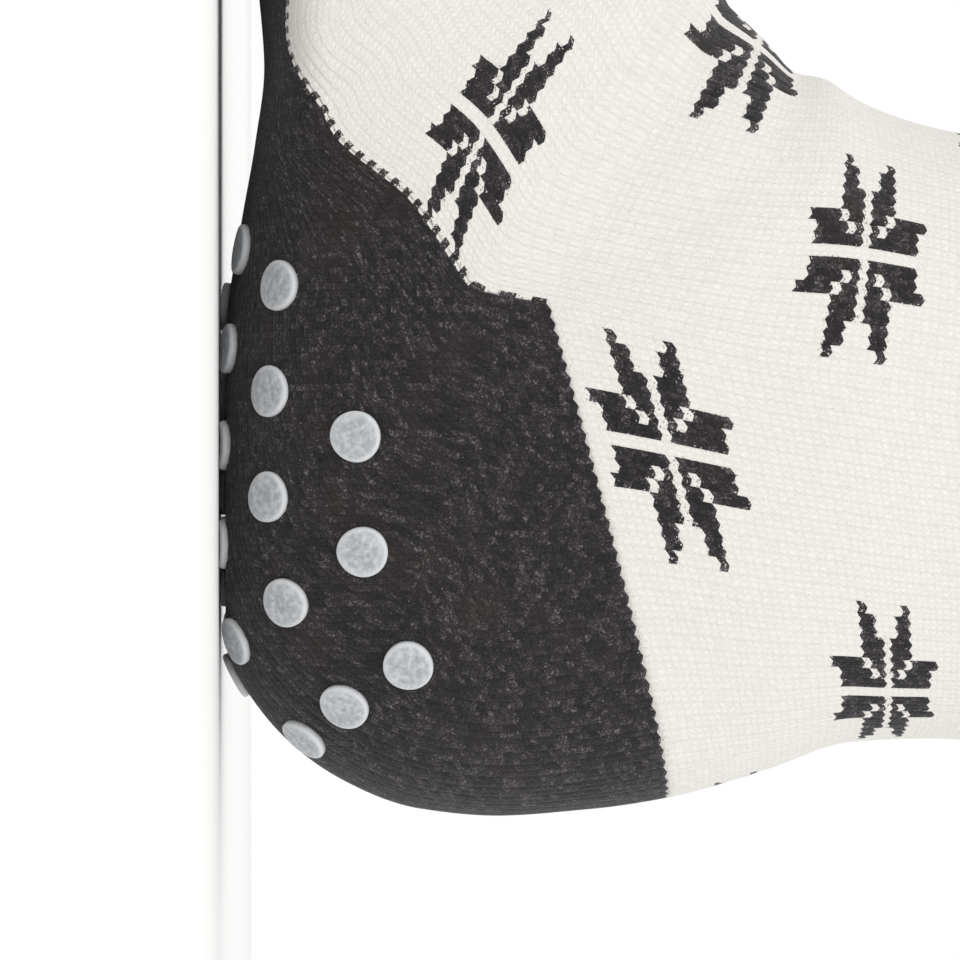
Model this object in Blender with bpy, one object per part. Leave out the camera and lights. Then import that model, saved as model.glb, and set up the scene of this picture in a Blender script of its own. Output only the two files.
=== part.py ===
"""Knitted slipper sock that fits either foot, standing empty on its silicone grip dots.

The sock is one surface, drawn as a row of rings from the top of the leg, round the heel and
along the foot to the tip of the toe. Each ring has a back (or bottom) point, a side point and a
front (or top) point. The pieces are cut from that one surface and given their wall inwards:
the rib cuff, the cream upper, the charcoal heel and sole, and the charcoal toe cap. The grip
dots stand off the sole, and the lowest ones carry the sock.

Metres, +X to the toe, +Z up. The origin is under the middle of the whole sock.
"""

import math
from collections import namedtuple

import bmesh
import bpy
from mathutils import Vector

MM = 0.001

# Driving sizes of the knitted form
FOOT_LENGTH = 250 * MM
BALL_WIDTH = 95 * MM
HEEL_WIDTH = 68 * MM
LEG_WIDTH = 78 * MM
INSTEP_HEIGHT = 69 * MM
SOLE_EDGE_HEIGHT = 18 * MM
LEG_HEIGHT = 190 * MM
CUFF_HEIGHT = 34 * MM
TOE_CAP_LENGTH = 47 * MM

# Thickness of the knit in each piece, lining included
UPPER_WALL = 2.8 * MM
SOLE_WALL = 3.4 * MM
TOE_WALL = 3.0 * MM
CUFF_WALL = 3.6 * MM
SEAM_GAP = 0.3 * MM
WELT_ROUND = 1.2 * MM

# Silicone grip dots
DOT_DIAMETER = 7.0 * MM
DOT_THICKNESS = 0.7 * MM
DOT_BEVEL = 0.3 * MM
DOT_SEAT = 0.3 * MM
DOT_PITCH = 14.2 * MM
DOT_COLUMN_PITCH = 13.3 * MM
DOT_SIDES = 12
FLOOR_DOT_RISE = 1.0 * MM

# How finely the surface is cut into faces
QUARTER_STEPS = 10
LEG_STEPS = 11
CUFF_STEPS = 4
INSTEP_STEPS = 14
HEEL_STEPS = 16
TOE_STEPS = 8
GIRTH_STEPS = 120

# Places and turns are steps between the table's rings. A slope is taken over the slope's step
# each way, and a place is sought by halving its range.
SLOPE_STEP = 0.02
HALVINGS = 40

# The sole's underside is flat on this plane, so that the lowest dots reach down to z = 0.
SOLE_PLANE = DOT_SEAT + DOT_THICKNESS

Ring = namedtuple("Ring", "back_x back_z side_x side_z front_x front_z half_width back_power front_power")

# Leg rings from the top down. "rise" is a share of the leg's rise above the instep, and the z
# values, added to it, are shares of INSTEP_HEIGHT. The x values are shares of FOOT_LENGTH, and
# half_width is a share of LEG_WIDTH. The powers say how square the ring is: 2 is an ellipse.
LEG_COLUMNS = "rise back_x back_z side_x side_z front_x front_z half_width power"
LEG_TABLE = (
    (1.000, 0.010, 1.000, 0.194, 1.000, 0.380, 1.000, 0.500, 2.15),
    (0.860, 0.010, 1.000, 0.193, 1.000, 0.378, 1.000, 0.488, 2.15),
    (0.705, 0.015, 1.000, 0.192, 1.000, 0.377, 1.000, 0.467, 2.15),
    (0.545, 0.027, 1.000, 0.203, 0.985, 0.380, 1.000, 0.440, 2.15),
    (0.400, 0.039, 1.005, 0.217, 0.955, 0.388, 0.995, 0.425, 2.15),
    (0.285, 0.043, 1.000, 0.232, 0.905, 0.400, 0.970, 0.433, 2.15),
    (0.180, 0.041, 1.005, 0.252, 0.845, 0.420, 0.960, 0.452, 2.20),
    (0.085, 0.026, 0.985, 0.272, 0.755, 0.436, 1.035, 0.448, 2.25),
)

# Heel rings fan out from the corner of the heel's edge, just under the ankle bone. The x values
# are shares of FOOT_LENGTH, the z values of INSTEP_HEIGHT and half_width of HEEL_WIDTH. The
# power is that of the back half, and all the front halves share one power.
HEEL_FRONT_POWER = 2.10
HEEL_COLUMNS = "back_x back_z side_x side_z front_x front_z half_width power"
HEEL_TABLE = (
    (0.0105, 0.925, 0.2880, 0.640, 0.468, 1.058, 0.500, 2.30),
    (0.0033, 0.760, 0.2888, 0.623, 0.471, 1.053, 0.500, 2.35),
    (0.0000, 0.590, 0.2896, 0.607, 0.474, 1.047, 0.500, 2.40),
    (0.0053, 0.415, 0.2904, 0.590, 0.477, 1.041, 0.501, 2.45),
    (0.0240, 0.240, 0.2912, 0.574, 0.480, 1.035, 0.502, 2.45),
    (0.0580, 0.095, 0.2920, 0.557, 0.483, 1.029, 0.503, 2.45),
    (0.1020, 0.008, 0.2928, 0.540, 0.486, 1.022, 0.504, 2.45),
    (0.1560, -0.022, 0.2936, 0.524, 0.489, 1.014, 0.505, 2.45),
    (0.2240, -0.012, 0.2948, 0.507, 0.492, 1.007, 0.506, 2.45),
)

# Foot rings from the heel's corner to the tip of the toe. The x values are shares of
# FOOT_LENGTH, bottom_z and side_z of SOLE_EDGE_HEIGHT, top_z of INSTEP_HEIGHT and half_width
# of BALL_WIDTH. The last ring is the point where the toe closes.
FOOT_COLUMNS = "bottom_x bottom_z side_x side_z top_x top_z half_width bottom_power top_power"
FOOT_TABLE = (
    (0.2960, 0.060, 0.2980, 1.880, 0.496, 0.998, 0.363, 2.45, 2.00),
    (0.3420, 0.170, 0.3420, 1.460, 0.523, 0.952, 0.358, 2.45, 2.00),
    (0.3860, 0.280, 0.3860, 0.840, 0.548, 0.906, 0.353, 2.45, 2.00),
    (0.4300, 0.350, 0.4300, 0.840, 0.577, 0.857, 0.354, 2.50, 2.00),
    (0.4820, 0.300, 0.4820, 0.920, 0.611, 0.806, 0.369, 2.50, 2.00),
    (0.5600, 0.110, 0.5600, 1.000, 0.662, 0.742, 0.411, 2.55, 2.00),
    (0.6400, -0.020, 0.6400, 1.000, 0.713, 0.683, 0.460, 2.60, 2.00),
    (0.7200, -0.060, 0.7200, 1.000, 0.762, 0.628, 0.498, 2.60, 2.05),
    (0.8000, -0.030, 0.8000, 0.990, 0.814, 0.567, 0.490, 2.60, 2.10),
    (0.8640, 0.100, 0.8640, 0.960, 0.866, 0.505, 0.452, 2.50, 2.20),
    (0.9160, 0.210, 0.9160, 0.920, 0.916, 0.442, 0.393, 2.40, 2.25),
    (0.9540, 0.330, 0.9540, 0.870, 0.954, 0.378, 0.313, 2.30, 2.25),
    (0.9800, 0.440, 0.9800, 0.820, 0.980, 0.314, 0.218, 2.20, 2.20),
    (0.9950, 0.590, 0.9950, 0.780, 0.995, 0.252, 0.110, 2.10, 2.10),
    (1.0000, 0.740, 1.0000, 0.740, 1.000, 0.193, 0.000, 2.00, 2.00),
)

# Grip dots: the column's number each side of the sole's centre line, the place of its first dot
# as a share of FOOT_LENGTH, its pitch as a share of DOT_PITCH, and how many dots it has.
DOT_COLUMNS = "column first_x pitch count"
HEEL_DOTS = (
    (0, 0.0820, 0.93, 5),
    (1, 0.0492, 0.96, 6),
    (2, 0.0696, 1.01, 5),
    (3, 0.0932, 1.09, 3),
)
BALL_DOTS = (
    (0, 0.5520, 1.00, 5),
    (1, 0.5804, 1.00, 4),
    (2, 0.6088, 1.00, 3),
)

# Colour (sRGB), roughness and metallic value of each material
CREAM_KNIT = ("cream_knit", (0.94, 0.93, 0.90), 0.95, 0.0)
CREAM_RIB = ("cream_rib", (0.93, 0.92, 0.89), 0.95, 0.0)
CHARCOAL_KNIT = ("charcoal_knit", (0.22, 0.20, 0.20), 0.95, 0.0)
GRIP_SILICONE = ("grip_silicone", (0.70, 0.71, 0.72), 0.45, 0.0)


def table_rows(columns, table):
    """Give each row of a table as a record with the named columns."""
    Row = namedtuple("Row", columns)
    return [Row(*values) for values in table]


def leg_rings():
    """Rings of the leg, from the top down to just above the heel's edge."""
    leg_rise = LEG_HEIGHT - INSTEP_HEIGHT
    rings = []
    for row in table_rows(LEG_COLUMNS, LEG_TABLE):
        lift = row.rise * leg_rise
        rings.append(Ring(
            row.back_x * FOOT_LENGTH, row.back_z * INSTEP_HEIGHT + lift,
            row.side_x * FOOT_LENGTH, row.side_z * INSTEP_HEIGHT + lift,
            row.front_x * FOOT_LENGTH, row.front_z * INSTEP_HEIGHT + lift,
            row.half_width * LEG_WIDTH, row.power, row.power))
    return rings


def heel_rings():
    """Rings of the heel pocket, from its top edge round to the sole."""
    rings = []
    for row in table_rows(HEEL_COLUMNS, HEEL_TABLE):
        rings.append(Ring(
            row.back_x * FOOT_LENGTH, row.back_z * INSTEP_HEIGHT,
            row.side_x * FOOT_LENGTH, row.side_z * INSTEP_HEIGHT,
            row.front_x * FOOT_LENGTH, row.front_z * INSTEP_HEIGHT,
            row.half_width * HEEL_WIDTH, row.power, HEEL_FRONT_POWER))
    return rings


def foot_rings():
    """Rings of the foot, from the heel's corner to the point of the toe."""
    rings = []
    for row in table_rows(FOOT_COLUMNS, FOOT_TABLE):
        rings.append(Ring(
            row.bottom_x * FOOT_LENGTH, row.bottom_z * SOLE_EDGE_HEIGHT,
            row.side_x * FOOT_LENGTH, row.side_z * SOLE_EDGE_HEIGHT,
            row.top_x * FOOT_LENGTH, row.top_z * INSTEP_HEIGHT,
            row.half_width * BALL_WIDTH, row.bottom_power, row.top_power))
    return rings


def mirrored_past_the_toe(ring):
    """The ring that the last but one becomes beyond the toe's point, which keeps the tip round."""
    return Ring(ring.front_x, ring.front_z, ring.side_x, ring.side_z, ring.back_x, ring.back_z,
                -ring.half_width, ring.back_power, ring.front_power)


RINGS = leg_rings() + heel_rings() + foot_rings()
LAST_RING = len(RINGS) - 1
HEEL_EDGE_RING = len(LEG_TABLE)
BACK_OF_HEEL_RING = min(range(len(RINGS)), key=lambda number: RINGS[number].back_x)
SOLE_START_RING = HEEL_EDGE_RING + len(HEEL_TABLE)


def gentle_slope(before, after):
    """The slope at a ring between its two steps, so small that the curve never swings back."""
    if before * after <= 0:
        return 0.0
    return 2 * before * after / (before + after)


def ring_at(place):
    """The ring at a place between the table's rings, on a smooth curve through them."""
    low = min(max(int(math.floor(place)), 0), LAST_RING - 1)
    share = place - low
    before = RINGS[low - 1] if low > 0 else RINGS[0]
    if low + 2 <= LAST_RING:
        after = RINGS[low + 2]
    else:
        after = mirrored_past_the_toe(RINGS[LAST_RING - 1])
    values = []
    for a, b, c, d in zip(before, RINGS[low], RINGS[low + 1], after):
        slope_low = gentle_slope(b - a, c - b)
        slope_high = gentle_slope(c - b, d - c)
        square = share * share
        cube = square * share
        values.append(b * (2 * cube - 3 * square + 1) + slope_low * (cube - 2 * square + share)
                      + c * (3 * square - 2 * cube) + slope_high * (cube - square))
    return Ring(*values)


def skin_point(place, turn):
    """A point of the sock's outer surface.

    The turn runs from 0 at the back or bottom to 90 degrees at the side and 180 at the front or
    top, and on round the other side. The underside is flat where it meets the sole's plane.
    """
    ring = ring_at(place)
    end_x, end_z, power = ring.back_x, ring.back_z, ring.back_power
    if math.cos(turn) < 0:
        end_x, end_z, power = ring.front_x, ring.front_z, ring.front_power
    along = abs(math.cos(turn)) ** (2 / power)
    across = math.copysign(abs(math.sin(turn)) ** (2 / power), math.sin(turn))
    x = ring.side_x + (end_x - ring.side_x) * along
    z = ring.side_z + (end_z - ring.side_z) * along
    return Vector((x, across * ring.half_width, max(z, SOLE_PLANE)))


def skin_normal(place, turn):
    """The outward normal of the surface, from its slopes along and across the ring."""
    if place >= LAST_RING:
        return Vector((1, 0, 0))
    after = min(place + SLOPE_STEP, LAST_RING)
    before = max(place - SLOPE_STEP, 0)
    ahead = skin_point(after, turn) - skin_point(before, turn)
    round_it = skin_point(place, turn + SLOPE_STEP) - skin_point(place, turn - SLOPE_STEP)
    normal = ahead.cross(round_it).normalized()
    ring = ring_at(place)
    outward = skin_point(place, turn) - Vector((ring.side_x, 0, ring.side_z))
    return normal if normal.dot(outward) > 0 else -normal


def place_where(measure, wanted, low, high):
    """Find the place between two rings where a rising measure reaches the wanted value."""
    for _ in range(HALVINGS):
        middle = (low + high) / 2
        if measure(middle) < wanted:
            low = middle
        else:
            high = middle
    return (low + high) / 2


def spread(start, end, steps):
    """Places from start to end in equal steps."""
    return [start + (end - start) * i / steps for i in range(steps + 1)]


def drop_below_top(place):
    """How far a leg ring lies below the top of the sock, on average."""
    ring = ring_at(place)
    return LEG_HEIGHT - (ring.back_z + ring.side_z + ring.front_z) / 3


CUFF_SEAM = place_where(drop_below_top, CUFF_HEIGHT, 0, HEEL_EDGE_RING)
TOE_SEAM = place_where(lambda place: ring_at(place).side_x, FOOT_LENGTH - TOE_CAP_LENGTH,
                       SOLE_START_RING, LAST_RING)


def turns(first_quarter, last_quarter):
    """Turns between two quarters of the ring, counted from its back or bottom point."""
    count = (last_quarter - first_quarter) * QUARTER_STEPS
    return [math.pi / 2 * (first_quarter + i / QUARTER_STEPS) for i in range(count + 1)]


class Patch:
    """A piece of the sock's surface, as cells of a grid of places and turns."""

    def __init__(self, places, all_turns):
        self.places = places
        self.turns = all_turns
        self.cells = set()

    def fill(self, first_row, last_row, first_column, last_column):
        """Take in the cells between two rows and two columns."""
        for row in range(first_row, last_row):
            for column in range(first_column, last_column):
                self.cells.add((row, self.wrap(column)))

    def wrap(self, column):
        """Count the columns round the whole ring."""
        return column % (4 * QUARTER_STEPS)

    def node(self, row, column):
        """The grid's node, where every column of the toe's point is the same node."""
        if self.places[row] >= LAST_RING:
            return (row, 0)
        return (row, self.wrap(column))

    def point(self, node):
        """The surface point of a node."""
        return skin_point(self.places[node[0]], self.turns[node[1]])

    def push(self, row, column):
        """Which way along the grid leads into the patch from a node on its edge."""
        total = [0, 0]
        for down in (-1, 1):
            for over in (-1, 1):
                cell = (row if down > 0 else row - 1,
                        self.wrap(column if over > 0 else column - 1))
                if cell not in self.cells:
                    total[0] -= down
                    total[1] -= over
        return [(value > 0) - (value < 0) for value in total]

    def seam_shift(self, row, column, free_row):
        """Half the seam's gap, from a node on the patch's edge into the patch."""
        if row == free_row or self.places[row] >= LAST_RING:
            return Vector()
        down, over = self.push(row, column)
        here = self.point(self.node(row, column))
        shift = Vector()
        if down:
            shift += (self.point(self.node(row + down, column)) - here).normalized()
        if over:
            shift += (self.point(self.node(row, column + over)) - here).normalized()
        return shift * SEAM_GAP / 2


def knit_shell(name, patch, wall, material, free_row=None):
    """Give a patch its wall inwards, and close it round its edges.

    The free row is an edge that meets no other piece: the top of the cuff, with a round welt.
    """
    mesh = bmesh.new()
    outer = {}
    inner = {}
    for row, column in sorted(patch.cells):
        for corner in ((row, column), (row + 1, column), (row + 1, column + 1), (row, column + 1)):
            node = patch.node(*corner)
            if node in outer:
                continue
            place = patch.places[node[0]]
            normal = skin_normal(place, patch.turns[node[1]])
            point = patch.point(node) + patch.seam_shift(node[0], node[1], free_row)
            outer[node] = mesh.verts.new(point)
            inner[node] = mesh.verts.new(point - normal * wall)

    edges = {}
    for row, column in sorted(patch.cells):
        loop = [patch.node(*corner) for corner in
                ((row, column), (row, column + 1), (row + 1, column + 1), (row + 1, column))]
        loop = [node for i, node in enumerate(loop) if node != loop[i - 1]]
        mesh.faces.new([outer[node] for node in loop])
        mesh.faces.new([inner[node] for node in reversed(loop)])
        for first, second in zip(loop, loop[1:] + loop[:1]):
            if (second, first) in edges:
                del edges[(second, first)]
            else:
                edges[(first, second)] = True

    welt = {}
    for first, second in sorted(edges):
        if free_row is None or first[0] != free_row or second[0] != free_row:
            mesh.faces.new([outer[second], outer[first], inner[first], inner[second]])
            continue
        for node in (first, second):
            if node not in welt:
                middle = (outer[node].co + inner[node].co) / 2
                welt[node] = mesh.verts.new(middle + Vector((0, 0, WELT_ROUND)))
        mesh.faces.new([outer[second], outer[first], welt[first], welt[second]])
        mesh.faces.new([welt[second], welt[first], inner[first], inner[second]])
    add_object(name, mesh, material)


def add_object(name, mesh, material, smooth_degrees=40):
    """Turn a bmesh into a named object with its material and its faces pointing out."""
    bmesh.ops.recalc_face_normals(mesh, faces=mesh.faces)
    if mesh.calc_volume(signed=True) < 0:
        bmesh.ops.reverse_faces(mesh, faces=mesh.faces)
    data = bpy.data.meshes.new(name)
    mesh.to_mesh(data)
    mesh.free()
    data.materials.append(material)
    data.shade_smooth()
    data.set_sharp_from_angle(angle=math.radians(smooth_degrees))
    thing = bpy.data.objects.new(name, data)
    thing.location.x = -FOOT_LENGTH / 2
    bpy.context.collection.objects.link(thing)
    return thing


def make_material(name, colour, roughness, metallic):
    """A plain Principled material."""
    material = bpy.data.materials.new(name)
    material.use_nodes = True
    shader = material.node_tree.nodes["Principled BSDF"]
    linear = [((value + 0.055) / 1.055) ** 2.4 for value in colour]
    shader.inputs["Base Color"].default_value = (*linear, 1)
    shader.inputs["Roughness"].default_value = roughness
    shader.inputs["Metallic"].default_value = metallic
    return material


def build_cuff(material):
    """The rib cuff with its welt at the top of the leg."""
    patch = Patch(spread(0, CUFF_SEAM, CUFF_STEPS), turns(0, 4))
    patch.fill(0, CUFF_STEPS, 0, 4 * QUARTER_STEPS)
    knit_shell("cuff", patch, CUFF_WALL, material, free_row=0)


def build_upper(material):
    """The cream leg and instep in one wall, open at the top, at the toe and underneath."""
    leg = spread(CUFF_SEAM, HEEL_EDGE_RING, LEG_STEPS)
    instep = spread(SOLE_START_RING, TOE_SEAM, INSTEP_STEPS)
    patch = Patch(leg + instep, turns(0, 4))
    patch.fill(0, LEG_STEPS, 0, 4 * QUARTER_STEPS)
    patch.fill(LEG_STEPS, LEG_STEPS + INSTEP_STEPS + 1, QUARTER_STEPS, 3 * QUARTER_STEPS)
    knit_shell("upper", patch, UPPER_WALL, material)


def build_sole(material):
    """The charcoal heel pocket and sole in one wall."""
    heel = spread(HEEL_EDGE_RING, SOLE_START_RING, HEEL_STEPS)
    foot = spread(SOLE_START_RING, TOE_SEAM, INSTEP_STEPS)
    patch = Patch(heel + foot[1:], turns(0, 4))
    patch.fill(0, HEEL_STEPS + INSTEP_STEPS, -QUARTER_STEPS, QUARTER_STEPS)
    knit_shell("sole", patch, SOLE_WALL, material)


def build_toe_cap(material):
    """The charcoal toe pocket, closed at the tip."""
    patch = Patch(spread(TOE_SEAM, LAST_RING, TOE_STEPS), turns(0, 4))
    patch.fill(0, TOE_STEPS, 0, 4 * QUARTER_STEPS)
    knit_shell("toe_cap", patch, TOE_WALL, material)


def dot_site(x, girth, side):
    """Where a dot sits: the surface point and its normal.

    The girth is walked up from the sole's centre line, round the sock's upright section at x.
    """
    walked = 0.0
    before = None
    for turn in spread(0, math.pi / 2, GIRTH_STEPS):
        place = place_where(lambda guess: skin_point(guess, turn).x, x, BACK_OF_HEEL_RING, LAST_RING)
        here = skin_point(place, turn)
        if before is not None:
            walked += (here - before).length
        if walked >= girth:
            break
        before = here
    return skin_point(place, turn * side), skin_normal(place, turn * side)


def build_dot(name, x, girth, side, material):
    """One round silicone dot, with a bevelled rim, a seat's gap off the knit."""
    point, normal = dot_site(x, girth, side)
    if point.z < SOLE_PLANE + FLOOR_DOT_RISE:
        point.z = SOLE_PLANE
        normal = Vector((0, 0, -1))
    first = normal.orthogonal().normalized()
    second = normal.cross(first)
    radius = DOT_DIAMETER / 2
    levels = ((DOT_SEAT, radius), (DOT_SEAT + DOT_THICKNESS - DOT_BEVEL, radius),
              (DOT_SEAT + DOT_THICKNESS, radius - DOT_BEVEL))
    mesh = bmesh.new()
    rings = []
    for height, level_radius in levels:
        ring = []
        for i in range(DOT_SIDES):
            angle = 2 * math.pi * i / DOT_SIDES
            spoke = first * math.cos(angle) + second * math.sin(angle)
            ring.append(mesh.verts.new(point + normal * height + spoke * level_radius))
        rings.append(ring)
    for lower, upper in zip(rings, rings[1:]):
        for i in range(DOT_SIDES):
            j = (i + 1) % DOT_SIDES
            mesh.faces.new([lower[i], lower[j], upper[j], upper[i]])
    mesh.faces.new(list(reversed(rings[0])))
    mesh.faces.new(rings[-1])
    add_object(name, mesh, material)


def build_dots(group, table, material):
    """The dots of one patch of the sole, column by column."""
    for row in table_rows(DOT_COLUMNS, table):
        girth = row.column * DOT_COLUMN_PITCH
        sides = (1,) if row.column == 0 else (1, -1)
        for side in sides:
            letter = "c" if row.column == 0 else ("l" if side > 0 else "r")
            for i in range(row.count):
                x = row.first_x * FOOT_LENGTH + i * row.pitch * DOT_PITCH
                name = f"{group}_{letter}{row.column}_{i + 1}"
                build_dot(name, x, girth, side, material)


def main():
    """Clear the scene and build every piece."""
    for old in list(bpy.data.objects):
        bpy.data.objects.remove(old, do_unlink=True)
    cream = make_material(*CREAM_KNIT)
    rib = make_material(*CREAM_RIB)
    charcoal = make_material(*CHARCOAL_KNIT)
    silicone = make_material(*GRIP_SILICONE)
    build_cuff(rib)
    build_upper(cream)
    build_sole(charcoal)
    build_toe_cap(charcoal)
    build_dots("grip_heel", HEEL_DOTS, silicone)
    build_dots("grip_ball", BALL_DOTS, silicone)


main()
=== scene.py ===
"""Looks of the knitted slipper sock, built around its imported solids.

The sock is knitted as one tube of 144 wales. Every piece of knit here is a grid of stitches laid
on the same rings that shape the solids: four columns of faces to a wale and one row to a course.
The rows run in chevrons, as the legs of real stitches do, so each change of yarn has its teeth.
Metres, +X to the toe, +Z up, the sock's left side at +Y.
"""

from __future__ import annotations

import logging
import math
from dataclasses import dataclass, field
from enum import Enum

import bpy
import numpy as np
from mathutils import Matrix, Vector
from mathutils.bvhtree import BVHTree

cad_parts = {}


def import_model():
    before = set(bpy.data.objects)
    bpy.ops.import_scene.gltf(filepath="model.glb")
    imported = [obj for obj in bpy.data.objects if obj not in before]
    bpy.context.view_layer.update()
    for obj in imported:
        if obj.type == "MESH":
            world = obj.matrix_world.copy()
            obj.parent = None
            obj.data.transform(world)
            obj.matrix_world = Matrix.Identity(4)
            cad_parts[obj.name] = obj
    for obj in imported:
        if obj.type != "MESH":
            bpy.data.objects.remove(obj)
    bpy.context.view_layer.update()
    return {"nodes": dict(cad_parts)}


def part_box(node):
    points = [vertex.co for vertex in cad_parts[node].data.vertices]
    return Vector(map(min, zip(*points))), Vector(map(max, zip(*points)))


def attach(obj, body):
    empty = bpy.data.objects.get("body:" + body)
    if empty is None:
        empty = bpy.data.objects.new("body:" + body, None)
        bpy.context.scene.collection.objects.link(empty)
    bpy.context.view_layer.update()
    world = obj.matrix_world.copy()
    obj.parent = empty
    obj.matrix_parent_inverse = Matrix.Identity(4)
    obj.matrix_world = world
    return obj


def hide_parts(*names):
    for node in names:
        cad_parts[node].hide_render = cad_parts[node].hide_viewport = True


MM = 0.001
LOG = logging.getLogger("slipper_sock")

# Wales are counted round the sock from the middle of its back and sole, over the left side
WALES = 144
SIDE_WALE = 40
FRONT_WALE = WALES // 2
STITCH_COLUMNS = 4

# A relaxed stitch of this sock
WALE_PITCH = 1.95 * MM
COURSE_PITCH = 1.04 * MM

# The dots' rims come out the same each run
SEED = 11

# How finely a girth, a way along the sock and the place of a seam are measured
GIRTH_SAMPLES = 721
WAY_SAMPLES = 801
SEAM_SAMPLES = 4001

# A course number so far away that no crease reaches it
NO_CREASE = -10.0 * WALES

# The ground under the dots: its rows, its share of the columns, and a cell that tells its outside
GROUND_ROWS = 260
GROUND_STEP = 2
GROUND_CELL = (200, 40)


class KnitShape(Enum):
    """How a piece of knit is joined: an open panel, a tube, or a tube closed in a point."""

    PANEL = "panel"
    TUBE = "tube"
    POCKET = "pocket"


class DotPatch(Enum):
    """The two printed patches of grip dots, as their solids are named."""

    HEEL = "heel"
    BALL = "ball"


def linear_colour(hex_colour: str) -> tuple[float, float, float, float]:
    """Turn a colour from sRGB to linear light.

    Args:
        hex_colour: the colour as "#rrggbb".

    Returns:
        Red, green, blue and an alpha of 1.
    """
    values = [int(hex_colour[i:i + 2], 16) / 255 for i in (1, 3, 5)]
    lit = [v / 12.92 if v <= 0.04045 else ((v + 0.055) / 1.055) ** 2.4 for v in values]
    return (lit[0], lit[1], lit[2], 1.0)


def smooth_step(values: np.ndarray | float, start: float, end: float) -> np.ndarray:
    """Rise smoothly from 0 at the start to 1 at the end."""
    share = np.clip((np.asarray(values, float) - start) / (end - start), 0, 1)
    return share * share * (3 - 2 * share)


def add_node(tree: bpy.types.NodeTree, kind: str, settings: dict | None = None,
             inputs: dict | None = None) -> bpy.types.Node:
    """Add a node with its settings and links.

    Args:
        tree: the material's or world's node tree.
        kind: the node's type.
        settings: its properties by name; "stops" fills a colour ramp with (place, hex) pairs.
        inputs: a value or another node's output for each input, by name or number.

    Returns:
        The new node.
    """
    node = tree.nodes.new(kind)
    for name, value in (settings or {}).items():
        if name != "stops":
            setattr(node, name, value)
            continue
        ramp = node.color_ramp
        while len(ramp.elements) < len(value):
            ramp.elements.new(1.0)
        for element, (position, colour) in zip(ramp.elements, value):
            element.position = position
            element.color = linear_colour(colour)
    for name, value in (inputs or {}).items():
        if isinstance(value, bpy.types.NodeSocket):
            tree.links.new(value, node.inputs[name])
        else:
            node.inputs[name].default_value = value
    return node


def new_material(name: str) -> tuple[bpy.types.Material, bpy.types.NodeTree, bpy.types.Node]:
    """Start a material.

    Args:
        name: the material's name.

    Returns:
        The material, its node tree and its Principled shader.
    """
    material = bpy.data.materials.new(name)
    material.use_nodes = True
    tree = material.node_tree
    return material, tree, tree.nodes["Principled BSDF"]


def add_smooth_object(name: str, mesh: bpy.types.Mesh) -> bpy.types.Object:
    """Shade a mesh smooth and put it in the scene.

    Args:
        name: the object's name.
        mesh: its mesh.

    Returns:
        The new object.
    """
    mesh.polygons.foreach_set("use_smooth", [True] * len(mesh.polygons))
    mesh.update()
    thing = bpy.data.objects.new(name, mesh)
    bpy.context.collection.objects.link(thing)
    return thing


def add_knit(name: str, points: list, faces: list, stitch_uv: list | np.ndarray,
             yarn: list[float], lining_faces: int,
             materials: list[bpy.types.Material]) -> bpy.types.Object:
    """Make a piece of knit whose last faces are its lining.

    Args:
        name: the piece's name.
        points: its points.
        faces: its faces, with the lining's at the end.
        stitch_uv: the wale and course at each corner of the knit's faces.
        yarn: how far each of those corners is charcoal; the rest are cream.
        lining_faces: how many faces the lining has.
        materials: the knit's material and the lining's.

    Returns:
        The new object.
    """
    mesh = bpy.data.meshes.new(name)
    mesh.from_pydata(points, [], faces)
    loops = np.zeros((len(mesh.loops), 2), np.float32)
    loops[:len(stitch_uv)] = stitch_uv
    mesh.uv_layers.new(name="stitches").data.foreach_set("uv", loops.ravel())
    charcoal = mesh.attributes.new("charcoal", "FLOAT", "CORNER")
    charcoal.data.foreach_set("value", yarn + [0.0] * (len(mesh.loops) - len(yarn)))
    for material in materials:
        mesh.materials.append(material)
    slots = [0] * (len(faces) - lining_faces) + [1] * lining_faces
    mesh.polygons.foreach_set("material_index", slots)
    return add_smooth_object(name, mesh)


def gentle_slope(before: np.ndarray, after: np.ndarray) -> np.ndarray:
    """Find the slope between two steps, so small that the curve never swings back.

    Args:
        before: the step up to the point.
        after: the step on from it.

    Returns:
        The slope at the point, zero where the steps turn.
    """
    both = before * after
    total = np.where(both > 0, before + after, 1.0)
    return np.where(both > 0, 2 * both / total, 0.0)


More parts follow.
